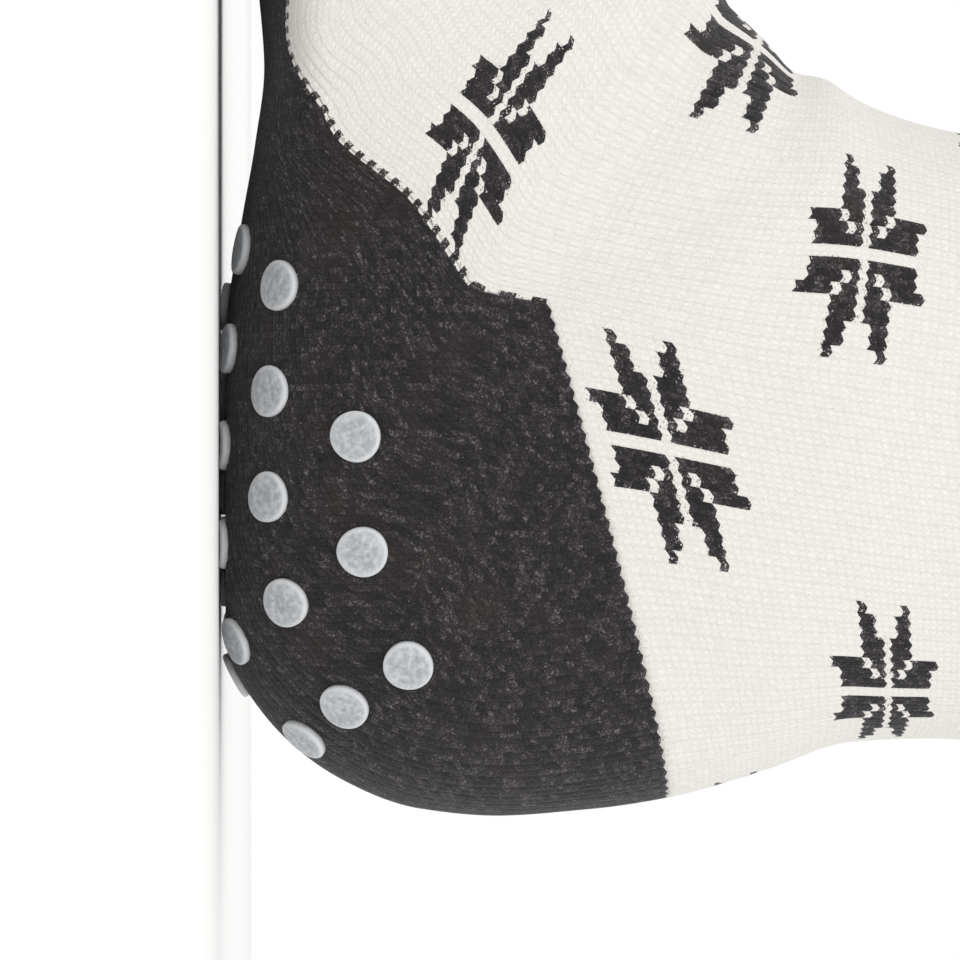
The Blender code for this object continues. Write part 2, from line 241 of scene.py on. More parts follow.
@dataclass(frozen=True)
class SockForm:
    """The sock's outer surface, from the same rings and sizes as the solids."""

    foot_length: float = 250 * MM
    ball_width: float = 95 * MM
    heel_width: float = 68 * MM
    leg_width: float = 78 * MM
    instep_height: float = 69 * MM
    sole_edge_height: float = 18 * MM
    leg_height: float = 190 * MM
    sole_plane: float = 1.0 * MM
    heel_front_power: float = 2.10
    slope_step: float = 0.02

    # The side wales leave their even place over this many rings, down to the heel's edge
    side_rings: int = 3
    # Behind the ankle the wales lie this share closer at the side, and as much wider at the back
    heel_stretch: float = 0.166
    # In front of it they lie closer at the side and wider over the instep, and the gather ends
    # between these shares of the foot's length
    corner_gather: float = 0.40
    gather_fall: tuple[float, float] = (0.420, 0.620)
    # The sole's edge runs in under the arch, and comes and goes between shares of the length
    arch_tuck: float = 9 * MM
    tuck_rise: tuple[float, float] = (0.380, 0.440)
    tuck_fall: tuple[float, float] = (0.460, 0.600)

    # rise, back x and z, side x and z, front x and z, half width, power
    leg_table: tuple = (
        (1.000, 0.010, 1.000, 0.194, 1.000, 0.380, 1.000, 0.500, 2.15),
        (0.860, 0.010, 1.000, 0.193, 1.000, 0.378, 1.000, 0.488, 2.15),
        (0.705, 0.015, 1.000, 0.192, 1.000, 0.377, 1.000, 0.467, 2.15),
        (0.545, 0.027, 1.000, 0.203, 0.985, 0.380, 1.000, 0.440, 2.15),
        (0.400, 0.039, 1.005, 0.217, 0.955, 0.388, 0.995, 0.425, 2.15),
        (0.285, 0.043, 1.000, 0.232, 0.905, 0.400, 0.970, 0.433, 2.15),
        (0.180, 0.041, 1.005, 0.252, 0.845, 0.420, 0.960, 0.452, 2.20),
        (0.085, 0.026, 0.985, 0.272, 0.755, 0.436, 1.035, 0.448, 2.25),
    )
    # back x and z, side x and z, front x and z, half width, power of the back half
    heel_table: tuple = (
        (0.0105, 0.925, 0.2880, 0.640, 0.468, 1.058, 0.500, 2.30),
        (0.0033, 0.760, 0.2888, 0.623, 0.471, 1.053, 0.500, 2.35),
        (0.0000, 0.590, 0.2896, 0.607, 0.474, 1.047, 0.500, 2.40),
        (0.0053, 0.415, 0.2904, 0.590, 0.477, 1.041, 0.501, 2.45),
        (0.0240, 0.240, 0.2912, 0.574, 0.480, 1.035, 0.502, 2.45),
        (0.0580, 0.095, 0.2920, 0.557, 0.483, 1.029, 0.503, 2.45),
        (0.1020, 0.008, 0.2928, 0.540, 0.486, 1.022, 0.504, 2.45),
        (0.1560, -0.022, 0.2936, 0.524, 0.489, 1.014, 0.505, 2.45),
        (0.2240, -0.012, 0.2948, 0.507, 0.492, 1.007, 0.506, 2.45),
    )
    # bottom x and z, side x and z, top x and z, half width, power below, power above
    foot_table: tuple = (
        (0.2960, 0.060, 0.2980, 1.880, 0.496, 0.998, 0.363, 2.45, 2.00),
        (0.3420, 0.170, 0.3420, 1.460, 0.523, 0.952, 0.358, 2.45, 2.00),
        (0.3860, 0.280, 0.3860, 0.840, 0.548, 0.906, 0.353, 2.45, 2.00),
        (0.4300, 0.350, 0.4300, 0.840, 0.577, 0.857, 0.354, 2.50, 2.00),
        (0.4820, 0.300, 0.4820, 0.920, 0.611, 0.806, 0.369, 2.50, 2.00),
        (0.5600, 0.110, 0.5600, 1.000, 0.662, 0.742, 0.411, 2.55, 2.00),
        (0.6400, -0.020, 0.6400, 1.000, 0.713, 0.683, 0.460, 2.60, 2.00),
        (0.7200, -0.060, 0.7200, 1.000, 0.762, 0.628, 0.498, 2.60, 2.05),
        (0.8000, -0.030, 0.8000, 0.990, 0.814, 0.567, 0.490, 2.60, 2.10),
        (0.8640, 0.100, 0.8640, 0.960, 0.866, 0.505, 0.452, 2.50, 2.20),
        (0.9160, 0.210, 0.9160, 0.920, 0.916, 0.442, 0.393, 2.40, 2.25),
        (0.9540, 0.330, 0.9540, 0.870, 0.954, 0.378, 0.313, 2.30, 2.25),
        (0.9800, 0.440, 0.9800, 0.820, 0.980, 0.314, 0.218, 2.20, 2.20),
        (0.9950, 0.590, 0.9950, 0.780, 0.995, 0.252, 0.110, 2.10, 2.10),
        (1.0000, 0.740, 1.0000, 0.740, 1.000, 0.193, 0.000, 2.00, 2.00),
    )
    rings: np.ndarray = field(init=False, repr=False)
    heel_back_x: float = field(init=False)

    def __post_init__(self) -> None:
        """Work the rings out once, and set the heel's back where the frame has it."""
        toe_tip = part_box("toe_cap")[1].x
        object.__setattr__(self, "heel_back_x", toe_tip - self.foot_length)
        object.__setattr__(self, "rings", self.all_rings())

    def all_rings(self) -> np.ndarray:
        """List every ring in metres.

        Returns:
            A row per ring: back x and z, side x and z, front x and z, half width and two powers.
        """
        rows = []
        for rise, bx, bz, sx, sz, fx, fz, half, power in self.leg_table:
            lift = rise * (self.leg_height - self.instep_height)
            heights = [share * self.instep_height + lift for share in (bz, sz, fz)]
            rows.append(self.one_ring((bx, sx, fx), heights, half * self.leg_width, power, power))
        for bx, bz, sx, sz, fx, fz, half, power in self.heel_table:
            heights = [share * self.instep_height for share in (bz, sz, fz)]
            rows.append(self.one_ring((bx, sx, fx), heights, half * self.heel_width, power,
                                      self.heel_front_power))
        for bx, bz, sx, sz, fx, fz, half, low, high in self.foot_table:
            heights = [bz * self.sole_edge_height, sz * self.sole_edge_height,
                       fz * self.instep_height]
            rows.append(self.one_ring((bx, sx, fx), heights, half * self.ball_width, low, high))
        before_tip = rows[-2]
        past_the_toe = [*before_tip[4:6], *before_tip[2:4], *before_tip[0:2],
                        -before_tip[6], *before_tip[7:]]
        return np.array([*rows, past_the_toe])

    def one_ring(self, x_shares: tuple[float, float, float], heights: list[float],
                 half_width: float, back_power: float, front_power: float) -> list[float]:
        """Put one ring's values in order, with x as the frame has it.

        Args:
            x_shares: how far along the foot its back, side and front lie.
            heights: how high they lie.
            half_width: the ring's half width.
            back_power: how square its back half is.
            front_power: how square its front half is.

        Returns:
            The ring's row.
        """
        xs = [self.heel_back_x + share * self.foot_length for share in x_shares]
        return [xs[0], heights[0], xs[1], heights[1], xs[2], heights[2],
                half_width, back_power, front_power]

    @property
    def heel_edge(self) -> int:
        """The ring along the heel pocket's top edge."""
        return len(self.leg_table)

    @property
    def sole_start(self) -> int:
        """The ring where the heel pocket ends and the foot begins."""
        return self.heel_edge + len(self.heel_table)

    @property
    def toe_tip(self) -> int:
        """The ring that is the point of the toe."""
        return len(self.rings) - 2

    def ring_at(self, places: np.ndarray) -> np.ndarray:
        """Read rings between the table's own, on a smooth curve through them.

        Args:
            places: ring numbers, with a share between two rings.

        Returns:
            A row of ring values for each place.
        """
        places = np.asarray(places, float)
        low = np.clip(np.floor(places), 0, self.toe_tip - 1).astype(int)
        share = (places - low)[..., None]
        a = self.rings[np.maximum(low - 1, 0)]
        b = self.rings[low]
        c = self.rings[low + 1]
        d = self.rings[low + 2]
        square = share * share
        cube = square * share
        slope_low = gentle_slope(b - a, c - b)
        slope_high = gentle_slope(c - b, d - c)
        return (b * (2 * cube - 3 * square + 1) + slope_low * (cube - 2 * square + share)
                + c * (3 * square - 2 * cube) + slope_high * (cube - square))

    def surface(self, places: np.ndarray, turns: np.ndarray) -> np.ndarray:
        """Find points of the sock's outer surface.

        Args:
            places: ring numbers, with a share between two rings.
            turns: turns round the ring, 0 at the back or bottom and pi at the front or top.

        Returns:
            The points, with a last axis of x, y and z.
        """
        places, turns = np.broadcast_arrays(places, turns)
        ring = self.ring_at(places)
        behind = np.cos(turns) >= 0
        end_x = np.where(behind, ring[..., 0], ring[..., 4])
        end_z = np.where(behind, ring[..., 1], ring[..., 5])
        power = np.where(behind, ring[..., 7], ring[..., 8])
        along = np.abs(np.cos(turns)) ** (2 / power)
        across = np.sign(np.sin(turns)) * np.abs(np.sin(turns)) ** (2 / power)
        x = ring[..., 2] + (end_x - ring[..., 2]) * along
        z = ring[..., 3] + (end_z - ring[..., 3]) * along
        return np.stack([x, across * ring[..., 6], np.maximum(z, self.sole_plane)], axis=-1)

    def directions(self, places: np.ndarray, turns: np.ndarray) -> tuple[np.ndarray, np.ndarray]:
        """Find which way the surface faces and runs.

        Args:
            places: ring numbers.
            turns: turns round the ring.

        Returns:
            The outward normals, and the unit vectors along the wales towards the toe.
        """
        places, turns = np.broadcast_arrays(places, turns)
        step = self.slope_step
        after = np.minimum(places + step, self.toe_tip - step)
        before = np.maximum(np.minimum(places, self.toe_tip - step) - step, 0)
        ahead = self.surface(after, turns) - self.surface(before, turns)
        round_it = self.surface(before, turns + step) - self.surface(before, turns - step)
        normals = unit(np.cross(round_it, ahead))
        ring = self.ring_at(places)
        middle = np.stack([ring[..., 2], 0 * ring[..., 2], ring[..., 3]], axis=-1)
        outward = self.surface(places, turns) - middle
        facing = np.sign(np.sum(normals * outward, axis=-1, keepdims=True))
        normals = normals * np.where(facing == 0, 1, facing)
        tip = (places >= self.toe_tip)[..., None]
        return np.where(tip, np.array([1.0, 0, 0]), normals), unit(ahead)

    def wale_turns(self, places: np.ndarray, wales: np.ndarray) -> np.ndarray:
        """Find the turn of each wale on each ring, from its share of the girth.

        Args:
            places: one ring number for each row.
            wales: wale numbers, counted from the middle of the back or sole.

        Returns:
            Turns, a row for each place and a column for each wale.
        """
        samples = np.linspace(0, math.pi, GIRTH_SAMPLES)
        points = self.surface(places[:, None], samples[None, :])
        steps = np.linalg.norm(np.diff(points, axis=1), axis=2)
        girth = np.concatenate([np.zeros((len(places), 1)), np.cumsum(steps, axis=1)], axis=1)
        whole = girth[:, -1]
        at_side = girth[:, len(samples) // 2]
        blend = smooth_step(places, self.heel_edge - self.side_rings, self.heel_edge)
        edge = at_side - self.tuck_under(places)
        side = whole * SIDE_WALE / FRONT_WALE * (1 - blend) + edge * blend
        signed = (wales + FRONT_WALE) % WALES - FRONT_WALE
        wanted = np.abs(signed)
        back = np.clip(1 - wanted / SIDE_WALE, 0, 1)
        front = np.clip((wanted - SIDE_WALE) / (FRONT_WALE - SIDE_WALE), 0, 1)
        gathered = self.gathered(places) * blend
        rows = []
        for row in range(len(places)):
            closer = 1 - self.heel_stretch * blend[row] * (1 - back)
            nearer = 1 - gathered[row] * (1 - front)
            arcs = side[row] * (1 - back * closer) + (whole[row] - side[row]) * front * nearer
            rows.append(np.interp(arcs, girth[row], samples) * np.where(signed < 0, -1, 1))
        return np.array(rows)

    def gathered(self, places: np.ndarray) -> np.ndarray:
        """Find the share by which the wales lie closer at the side than they would evenly."""
        return self.corner_gather * (1 - smooth_step(self.side_share(places), *self.gather_fall))

    def tuck_under(self, places: np.ndarray) -> np.ndarray:
        """Find how far the sole's edge runs in under the foot at the arch, in metres."""
        share = self.side_share(places)
        return self.arch_tuck * smooth_step(share, *self.tuck_rise) * (
            1 - smooth_step(share, *self.tuck_fall))

    def side_share(self, places: np.ndarray) -> np.ndarray:
        """Find how far along the foot the side of each ring lies, as a share of its length."""
        return (self.ring_at(places)[..., 2] - self.heel_back_x) / self.foot_length

    def even_places(self, first: float, last: float, count: int,
                    turns: tuple[float, ...]) -> np.ndarray:
        """Share the way between two rings evenly into courses.

        Args:
            first: the ring number to start from.
            last: the ring number to end at.
            count: how many courses lie between them.
            turns: the turns along which the way is measured; their mean counts.

        Returns:
            The ring number of each course's edge, count + 1 of them.
        """
        samples = np.linspace(first, last, WAY_SAMPLES)
        ways = []
        for turn in turns:
            points = self.surface(samples, np.full_like(samples, turn))
            ways.append(np.linalg.norm(np.diff(points, axis=0), axis=1))
        run = np.concatenate([[0], np.cumsum(np.mean(ways, axis=0))])
        return np.interp(np.linspace(0, run[-1], count + 1), run, samples)


def unit(vectors: np.ndarray) -> np.ndarray:
    """Scale vectors to a length of 1."""
    length = np.linalg.norm(vectors, axis=-1, keepdims=True)
    return vectors / np.maximum(length, 1e-12)


@dataclass(frozen=True)
class StarPattern:
    """The knitted star, charted, and how it repeats round the tube.

    The chart holds a quarter of a star: a line per course from the star's middle line outwards,
    a mark per wale from its middle wale outwards, with # for charcoal.
    """

    chart: tuple[str, ...] = (
        ".........",
        ".#####...",
        ".#.#####.",
        ".##.#####",
        ".###.....",
        ".###.....",
        ".###.....",
        "...#.....",
    )
    wale_repeat: int = 36
    course_repeat: int = 42
    first_wale: int = 30
    first_course: int = 9

    def charcoal_at(self, wales: np.ndarray, courses: np.ndarray) -> np.ndarray:
        """Tell which stitches of the cream ground are charcoal.

        Args:
            wales: the stitches' wale numbers.
            courses: their course numbers, counted up the leg from the heel's edge.

        Returns:
            True where the stitch is charcoal.
        """
        quarter = np.array([[mark == "#" for mark in line] for line in self.chart])
        found = np.zeros(np.broadcast(wales, courses).shape, bool)
        for shift in (0, 1):
            wale = self.first_wale + shift * self.wale_repeat // 2
            course = self.first_course + shift * self.course_repeat // 2
            across = self.from_middle(wales, wale, self.wale_repeat)
            along = self.from_middle(courses, course, self.course_repeat)
            inside = (across < quarter.shape[1]) & (along < quarter.shape[0])
            found |= inside & quarter[np.minimum(along, quarter.shape[0] - 1),
                                      np.minimum(across, quarter.shape[1] - 1)]
        return found

    @staticmethod
    def from_middle(numbers: np.ndarray, middle: int, repeat: int) -> np.ndarray:
        """Count stitches to the nearest star's middle, whichever way it lies."""
        return np.abs((numbers - middle + repeat // 2) % repeat - repeat // 2)


@dataclass(frozen=True)
class Crease:
    """A soft trough or ridge in the knit, along a straight line over wales and courses."""

    start: tuple[float, float]
    end: tuple[float, float]
    width: float
    height: float
    fade: float = 0.35

    def lift(self, wales: np.ndarray, courses: np.ndarray) -> np.ndarray:
        """Raise the knit near the line, fading out at its ends.

        Args:
            wales: signed wale numbers of the points.
            courses: their course numbers.

        Returns:
            Heights in metres, negative in a trough.
        """
        along = np.array([(self.end[0] - self.start[0]) * WALE_PITCH,
                          (self.end[1] - self.start[1]) * COURSE_PITCH])
        length = float(np.linalg.norm(along))
        across = np.array([-along[1], along[0]]) / length
        right = (wales - self.start[0]) * WALE_PITCH
        up = (courses - self.start[1]) * COURSE_PITCH
        share = (right * along[0] + up * along[1]) / length ** 2
        away = (right * across[0] + up * across[1]) / self.width
        ends = smooth_step(share, 0, self.fade) * smooth_step(1 - share, 0, self.fade)
        return self.height * ends * np.exp(-away ** 2)


@dataclass(frozen=True)
class Stitches:
    """How the stitches stand out of the knit, and how the soft knit wavers.

    The arrow is how far a stitch's legs run on past its sides, and the next three are heights in
    the groove between wales, on a leg and in the heart of a stitch. They shrink with the girth.
    """

    arrow: float = 0.23 * MM
    groove: float = -0.07 * MM
    leg: float = 0.05 * MM
    heart: float = -0.01 * MM
    waver: float = 0.22 * MM
    full_girth: float = 170 * MM
    floor_room: float = 0.35 * MM
    creases: tuple[Crease, ...] = (
        Crease((50, 16), (94, 16), 4.5 * MM, -1.10 * MM),
        Crease((48, 26), (96, 24), 4.5 * MM, 0.70 * MM),
        Crease((52, -4), (92, -3), 4.5 * MM, 0.55 * MM),
        Crease((43, 5), (58, 16), 2.6 * MM, -0.45 * MM),
        Crease((101, 5), (86, 16), 2.6 * MM, -0.45 * MM),
        Crease((41, 11), (54, 23), 2.6 * MM, 0.30 * MM),
        Crease((103, 11), (90, 23), 2.6 * MM, 0.30 * MM),
        Crease((42, -4), (55, -22), 2.2 * MM, -0.30 * MM),
        Crease((102, -4), (89, -22), 2.2 * MM, -0.30 * MM),
    )

    def lay(self, form: SockForm, places: np.ndarray, wales: np.ndarray, courses: np.ndarray,
            rib: np.ndarray | float = 0.0,
            shift: np.ndarray | None = None) -> tuple[np.ndarray, np.ndarray]:
        """Lay a grid of stitches on the form.

        Args:
            form: the sock's surface.
            places: a ring number for each row of the grid.
            wales: a wale number for each column.
            courses: the course number of each row, or of each point.
            rib: an extra height for each point, for a ribbed knit.
            shift: how many courses each point is moved on towards the toe.

        Returns:
            The points and the outward normals, rows by columns.
        """
        turns = form.wale_turns(places, wales)
        laid_places = places[:, None]
        if shift is not None:
            rows = np.arange(len(places), dtype=float)
            laid_places = np.interp(rows[:, None] + shift, rows, places)
            turns = np.stack([np.interp(laid_places[:, i], places, turns[:, i])
                              for i in range(len(wales))], axis=1)
        points = form.surface(laid_places, turns)
        normals, ahead = form.directions(laid_places, turns)
        girth = np.sum(np.linalg.norm(np.diff(points, axis=1), axis=2), axis=1)
        share = (wales[-1] - wales[0]) / WALES
        scale = np.clip(girth / (self.full_girth * share), 0, 1)[:, None]
        phase = np.mod(wales, 1.0)
        arrow = (4 * np.abs(phase - 0.5) - 1)[None, :] * self.arrow * scale
        height = np.interp(phase, [0, 0.25, 0.5, 0.75, 1],
                           [self.groove, self.leg, self.heart, self.leg, self.groove])
        height = height[None, :] * scale + rib + self.waver_at(points) * scale
        grid_courses = courses if courses.ndim == 2 else courses[:, None]
        for crease in self.creases:
            height = height + crease.lift(wales[None, :], grid_courses)
        laid = points + normals * height[..., None] + ahead * arrow[..., None]
        laid[..., 2] = np.maximum(laid[..., 2], self.floor_room)
        return laid, normals

    def waver_at(self, points: np.ndarray) -> np.ndarray:
        """Let the soft knit waver a little, in waves of 35 to 110 mm.

        Args:
            points: points of the surface.

        Returns:
            A height for each, in metres.
        """
        x, y, z = (points[..., axis] / MM for axis in range(3))
        waves = (np.sin(x / 7.1 + z / 11.3) * np.sin(y / 8.7 + 1.1)
                 + np.sin(z / 6.3 - x / 13.7 + 0.7) + np.sin(y / 5.9 + z / 9.1 + x / 17.0))
        return waves * self.waver / 3


@dataclass
class KnitShell:
    """A closed shell of knit: stitches outside, a coarse fleece wall inside, rims between.

    The grid's points and normals are rows by columns. A tube's last column joins its first, and
    a pocket ends in a single point. The cells tell which faces are there. Past the grid's
    edges, the yarn above, below and beside it is 0 for cream and 1 for charcoal.
    """

    name: str
    points: np.ndarray
    normals: np.ndarray
    wall: float
    cells: np.ndarray
    wales: np.ndarray
    stitch_rows: tuple[np.ndarray, np.ndarray]
    charcoal: np.ndarray
    wall_rows: list[int]
    wall_columns: int = 8
    shape: KnitShape = KnitShape.PANEL
    above: np.ndarray | float = 0.0
    below: float = 1.0
    beside: float = 0.0

    @property
    def closed(self) -> bool:
        """Whether the last column joins the first."""
        return self.shape is not KnitShape.PANEL

    @property
    def pointed(self) -> bool:
        """Whether the last row is a single point."""
        return self.shape is KnitShape.POCKET

    def yarn_at_points(self) -> np.ndarray:
        """Average the yarn of the cells round each point, and of what lies past the edges.

        Returns:
            How far each point of the grid is charcoal.
        """
        width = self.charcoal.shape[1]
        top = np.broadcast_to(np.asarray(self.above, float), width)
        rows = np.vstack([top, self.charcoal, np.full(width, self.below)])
        side = np.full((len(rows), 1), self.beside)
        left, right = (rows[:, -1:], rows[:, :1]) if self.closed else (side, side)
        rows = np.hstack([left, rows, right])
        return (rows[:-1, :-1] + rows[1:, :-1] + rows[:-1, 1:] + rows[1:, 1:]) / 4

    def number(self, row: int, column: int) -> int:
        """Number an outer point of the grid.

        Args:
            row: its row.
            column: its column, which may be one past a tube's last.

        Returns:
            The point's number.
        """
        columns = self.points.shape[1]
        if self.pointed and row == self.points.shape[0] - 1:
            return row * columns
        return row * columns + (column % columns if self.closed else column)

    def build(self, materials: list[bpy.types.Material]) -> bpy.types.Object:
        """Make the mesh and dress it.

        Args:
            materials: the knit's material and the fleece's.

        Returns:
            The new object.
        """
        rows, columns = self.points.shape[:2]
        corners = self.corner_order()
        faces: list[list[int]] = []
        stitch_uv: list[tuple[float, float]] = []
        yarn: list[float] = []
        start_v, end_v = self.stitch_rows
        blurred = self.yarn_at_points()
        for row, column in zip(*np.nonzero(self.cells)):
            face = []
            for down, over in corners:
                number = self.number(row + down, column + over)
                if number in face:
                    continue
                face.append(number)
                v = end_v[row, column + over] if down else start_v[row, column + over]
                stitch_uv.append((float(self.wales[column + over]), float(v)))
                yarn.append(0.5 * float(self.charcoal[row, column])
                            + 0.5 * float(blurred[row + down, column + over]))
            faces.append(face)
        outer_count = len(faces)

        inner: dict[tuple[int, int], int] = {}
        inner_points: list[np.ndarray] = []

        def inner_number(row: int, column: int) -> int:
            """Number a point of the fleece wall, made when it is first asked for.

            Args:
                row: its row in the grid.
                column: its column.

            Returns:
                The point's number.
            """
            key = divmod(self.number(row, column), columns)
            if key not in inner:
                inner[key] = rows * columns + len(inner_points)
                inner_points.append(self.points[key] - self.normals[key] * self.wall)
            return inner[key]

        blocks = self.blocks()
        for block_row, block_column in sorted(blocks):
            rim = self.block_corners(block_row, block_column, corners)
            wall_face = []
            for corner in reversed(rim):
                number = inner_number(*corner)
                if number not in wall_face:
                    wall_face.append(number)
            faces.append(wall_face)
            for i, corner in enumerate(rim):
                following = rim[(i + 1) % 4]
                if self.has_neighbour(block_row, block_column, corner, following, blocks):
                    continue
                edge = self.outer_edge(following, corner)
                faces.append([*edge, inner_number(*corner), inner_number(*following)])

        all_points = np.vstack([self.points.reshape(-1, 3), np.array(inner_points)])
        used = sorted({number for face in faces for number in face})
        renumber = {number: i for i, number in enumerate(used)}
        return add_knit(self.name, all_points[used].tolist(),
                        [[renumber[number] for number in face] for face in faces],
                        stitch_uv, yarn, len(faces) - outer_count, materials)

    def corner_order(self) -> list[tuple[int, int]]:
        """Order a cell's corners so that its face looks outwards.

        Returns:
            The four corners as rows and columns past the cell's own.
        """
        order = [(0, 0), (1, 0), (1, 1), (0, 1)]
        row, column = np.argwhere(self.cells)[0]
        a, b, d = (self.points[row, column], self.points[row + 1, column],
                   self.points[row, column + 1])
        facing = np.dot(np.cross(b - a, d - a), self.normals[row, column])
        return order if facing > 0 else order[::-1]

    def blocks(self) -> set[tuple[int, int]]:
        """List the coarse blocks of the fleece wall that lie behind the knit.

        Returns:
            The row and column of each block.
        """
        found = set()
        for block_row, row in enumerate(self.wall_rows[:-1]):
            for column in range(0, self.cells.shape[1], self.wall_columns):
                if self.cells[row, column]:
                    found.add((block_row, column // self.wall_columns))
        return found

    def block_corners(self, block_row: int, block_column: int,
                      corners: list[tuple[int, int]]) -> list[tuple[int, int]]:
        """Give the grid corners of a block, in the order of a face."""
        return [(self.wall_rows[block_row + down], (block_column + over) * self.wall_columns)
                for down, over in corners]

    def has_neighbour(self, block_row: int, block_column: int, corner: tuple[int, int],
                      following: tuple[int, int], blocks: set[tuple[int, int]]) -> bool:
        """Tell whether another block lies across an edge of this one.

        Args:
            block_row: the block's row.
            block_column: its column.
            corner: where the edge starts, as a row and column of the grid.
            following: where the edge ends.
            blocks: all the blocks of the wall.

        Returns:
            True where the wall goes on across the edge.
        """
        if corner[0] == following[0]:
            if self.pointed and corner[0] == self.points.shape[0] - 1:
                return True
            over = 1 if corner[0] == self.wall_rows[block_row + 1] else -1
            return (block_row + over, block_column) in blocks
        right = corner[1] == (block_column + 1) * self.wall_columns
        beside = block_column + (1 if right else -1)
        if self.closed:
            beside %= self.cells.shape[1] // self.wall_columns
        return (block_row, beside) in blocks

    def outer_edge(self, start: tuple[int, int], end: tuple[int, int]) -> list[int]:
        """Number the outer points along a block's edge, both ends included.

        Args:
            start: where the edge starts, as a row and column of the grid.
            end: where it ends.

        Returns:
            The points' numbers in order.
        """
        if start[0] == end[0]:
            step = 1 if end[1] > start[1] else -1
            return [self.number(start[0], column)
                    for column in range(start[1], end[1] + step, step)]
        step = 1 if end[0] > start[0] else -1
        return [self.number(row, start[1]) for row in range(start[0], end[0] + step, step)]


@dataclass(frozen=True)
class BrushedKnit:
    """Brushed acrylic and wool yarn, machine knitted.

    The fibres stand off the stitches, so the knit has no gloss, a soft bright edge and a blur
    over its stitches. The charcoal yarn is a melange: dark fibres with grey and brown ones.
    """

    name: str = "brushed_knit"
    charcoal: tuple[tuple[float, str], ...] = (
        (0.00, "#0e0c0d"),
        (0.22, "#1a1718"),
        (0.50, "#282526"),
        (0.76, "#373335"),
        (0.90, "#575254"),
        (1.00, "#757072"),
    )
    cream: tuple[tuple[float, str], ...] = (
        (0.00, "#e0dcd7"),
        (0.30, "#e5e2dd"),
        (0.75, "#e8e5e0"),
        (1.00, "#eceae6"),
    )
    # Painted shade: the colours that the charcoal and the cream darken to in the hollows between
    # legs and the grooves between wales
    charcoal_painted_shade: str = "#0d0b0c"
    cream_painted_shade: str = "#d9d6d1"
    tint: str = "#4a4038"
    fibre: float = 0.34 * MM
    fuzz: float = 2.2
    ragged: float = 0.45 * MM
    patch: float = 9.0 * MM
    stitch_depth: float = 0.09 * MM
    fibre_depth: float = 0.05 * MM
    roughness: float = 0.95
    sheen: float = 0.10
    sheen_roughness: float = 0.5
    ior: float = 1.47
    detail: float = 3.0
    fibre_roughness: float = 0.7

    # Fibres push a stitch's borders about by this share of a wale and of a course
    push: float = 0.5
    # A stitch's own shade, and how much the fibres change it
    own_shade: float = 0.50
    fibre_gain: float = 2.2
    fibre_level: float = -0.85
    # Where the brown fibres of the melange gather, and how much they tint it
    patch_edge: tuple[float, float] = (0.5, 0.75)
    patch_tint: float = 0.18
    # How far a leg's bulge rounds off across and along, as shares of the leg
    round_across: float = 0.30
    round_along: float = 0.26
    # How much painted shade darkens the hollow between two legs; the groove's width, and how deep
    # its bump and its painted shade go
    hollow_shade: float = 0.4
    groove_width: float = 0.16
    groove_shade: float = 0.45
    yarn_edge: tuple[float, float] = (0.38, 0.62)
    stitch_strength: float = 0.7

    def material(self) -> bpy.types.Material:
        """Make the knit's material.

        Returns:
            The new material.
        """
        material, tree, shader = new_material(self.name)
        coords = add_node(tree, "ShaderNodeTexCoord")
        stitch = add_node(tree, "ShaderNodeUVMap", {"uv_map": "stitches"})
        ragged = add_node(tree, "ShaderNodeTexNoise", {}, {
            "Vector": coords.outputs["Object"], "Scale": 1 / self.ragged, "Detail": 2.0})
        pushed = add_node(tree, "ShaderNodeVectorMath", {"operation": "MULTIPLY_ADD"}, {
            0: ragged.outputs["Color"], 1: (self.push, self.push, 0.0),
            2: (-self.push / 2, -self.push / 2, 0.0)})
        moved = add_node(tree, "ShaderNodeVectorMath", {"operation": "ADD"}, {
            0: stitch.outputs["UV"], 1: pushed.outputs["Vector"]})
        legs = add_node(tree, "ShaderNodeVectorMath", {"operation": "MULTIPLY"}, {
            0: moved.outputs["Vector"], 1: (2.0, 1.0, 1.0)})
        whole = add_node(tree, "ShaderNodeVectorMath", {"operation": "FLOOR"}, {
            0: legs.outputs["Vector"]})
        inside = add_node(tree, "ShaderNodeVectorMath", {"operation": "FRACTION"}, {
            0: legs.outputs["Vector"]})
        chance = add_node(tree, "ShaderNodeTexWhiteNoise", {"noise_dimensions": "2D"}, {
            "Vector": whole.outputs["Vector"]})
        fibre = add_node(tree, "ShaderNodeTexNoise", {}, {
            "Vector": coords.outputs["Object"], "Scale": 1 / self.fibre,
            "Detail": self.detail, "Roughness": self.fibre_roughness})
        patch = add_node(tree, "ShaderNodeTexNoise", {}, {
            "Vector": coords.outputs["Object"], "Scale": 1 / self.patch,
            "Detail": self.detail})

        # Each stitch leg has its own shade, and the loose fibres blur it
        mixed = add_node(tree, "ShaderNodeMath", {"operation": "MULTIPLY"}, {
            0: chance.outputs["Value"], 1: self.own_shade})
        shade = add_node(tree, "ShaderNodeMath", {"operation": "MULTIPLY_ADD"}, {
            0: fibre.outputs["Fac"], 1: self.fibre_gain, 2: self.fibre_level})
        total = add_node(tree, "ShaderNodeMath", {"operation": "ADD", "use_clamp": True}, {
            0: mixed.outputs["Value"], 1: shade.outputs["Value"]})
        dark = add_node(tree, "ShaderNodeValToRGB", {"stops": self.charcoal}, {
            "Fac": total.outputs["Value"]})
        light = add_node(tree, "ShaderNodeValToRGB", {"stops": self.cream}, {
            "Fac": total.outputs["Value"]})
        tinted_share = add_node(tree, "ShaderNodeMapRange", {"clamp": True}, {
            "Value": patch.outputs["Fac"], "From Min": self.patch_edge[0],
            "From Max": self.patch_edge[1], "To Min": 0.0, "To Max": self.patch_tint})
        tinted = add_node(tree, "ShaderNodeMix", {"data_type": "RGBA"}, {
            0: tinted_share.outputs["Result"], 6: dark.outputs["Color"],
            7: linear_colour(self.tint)})
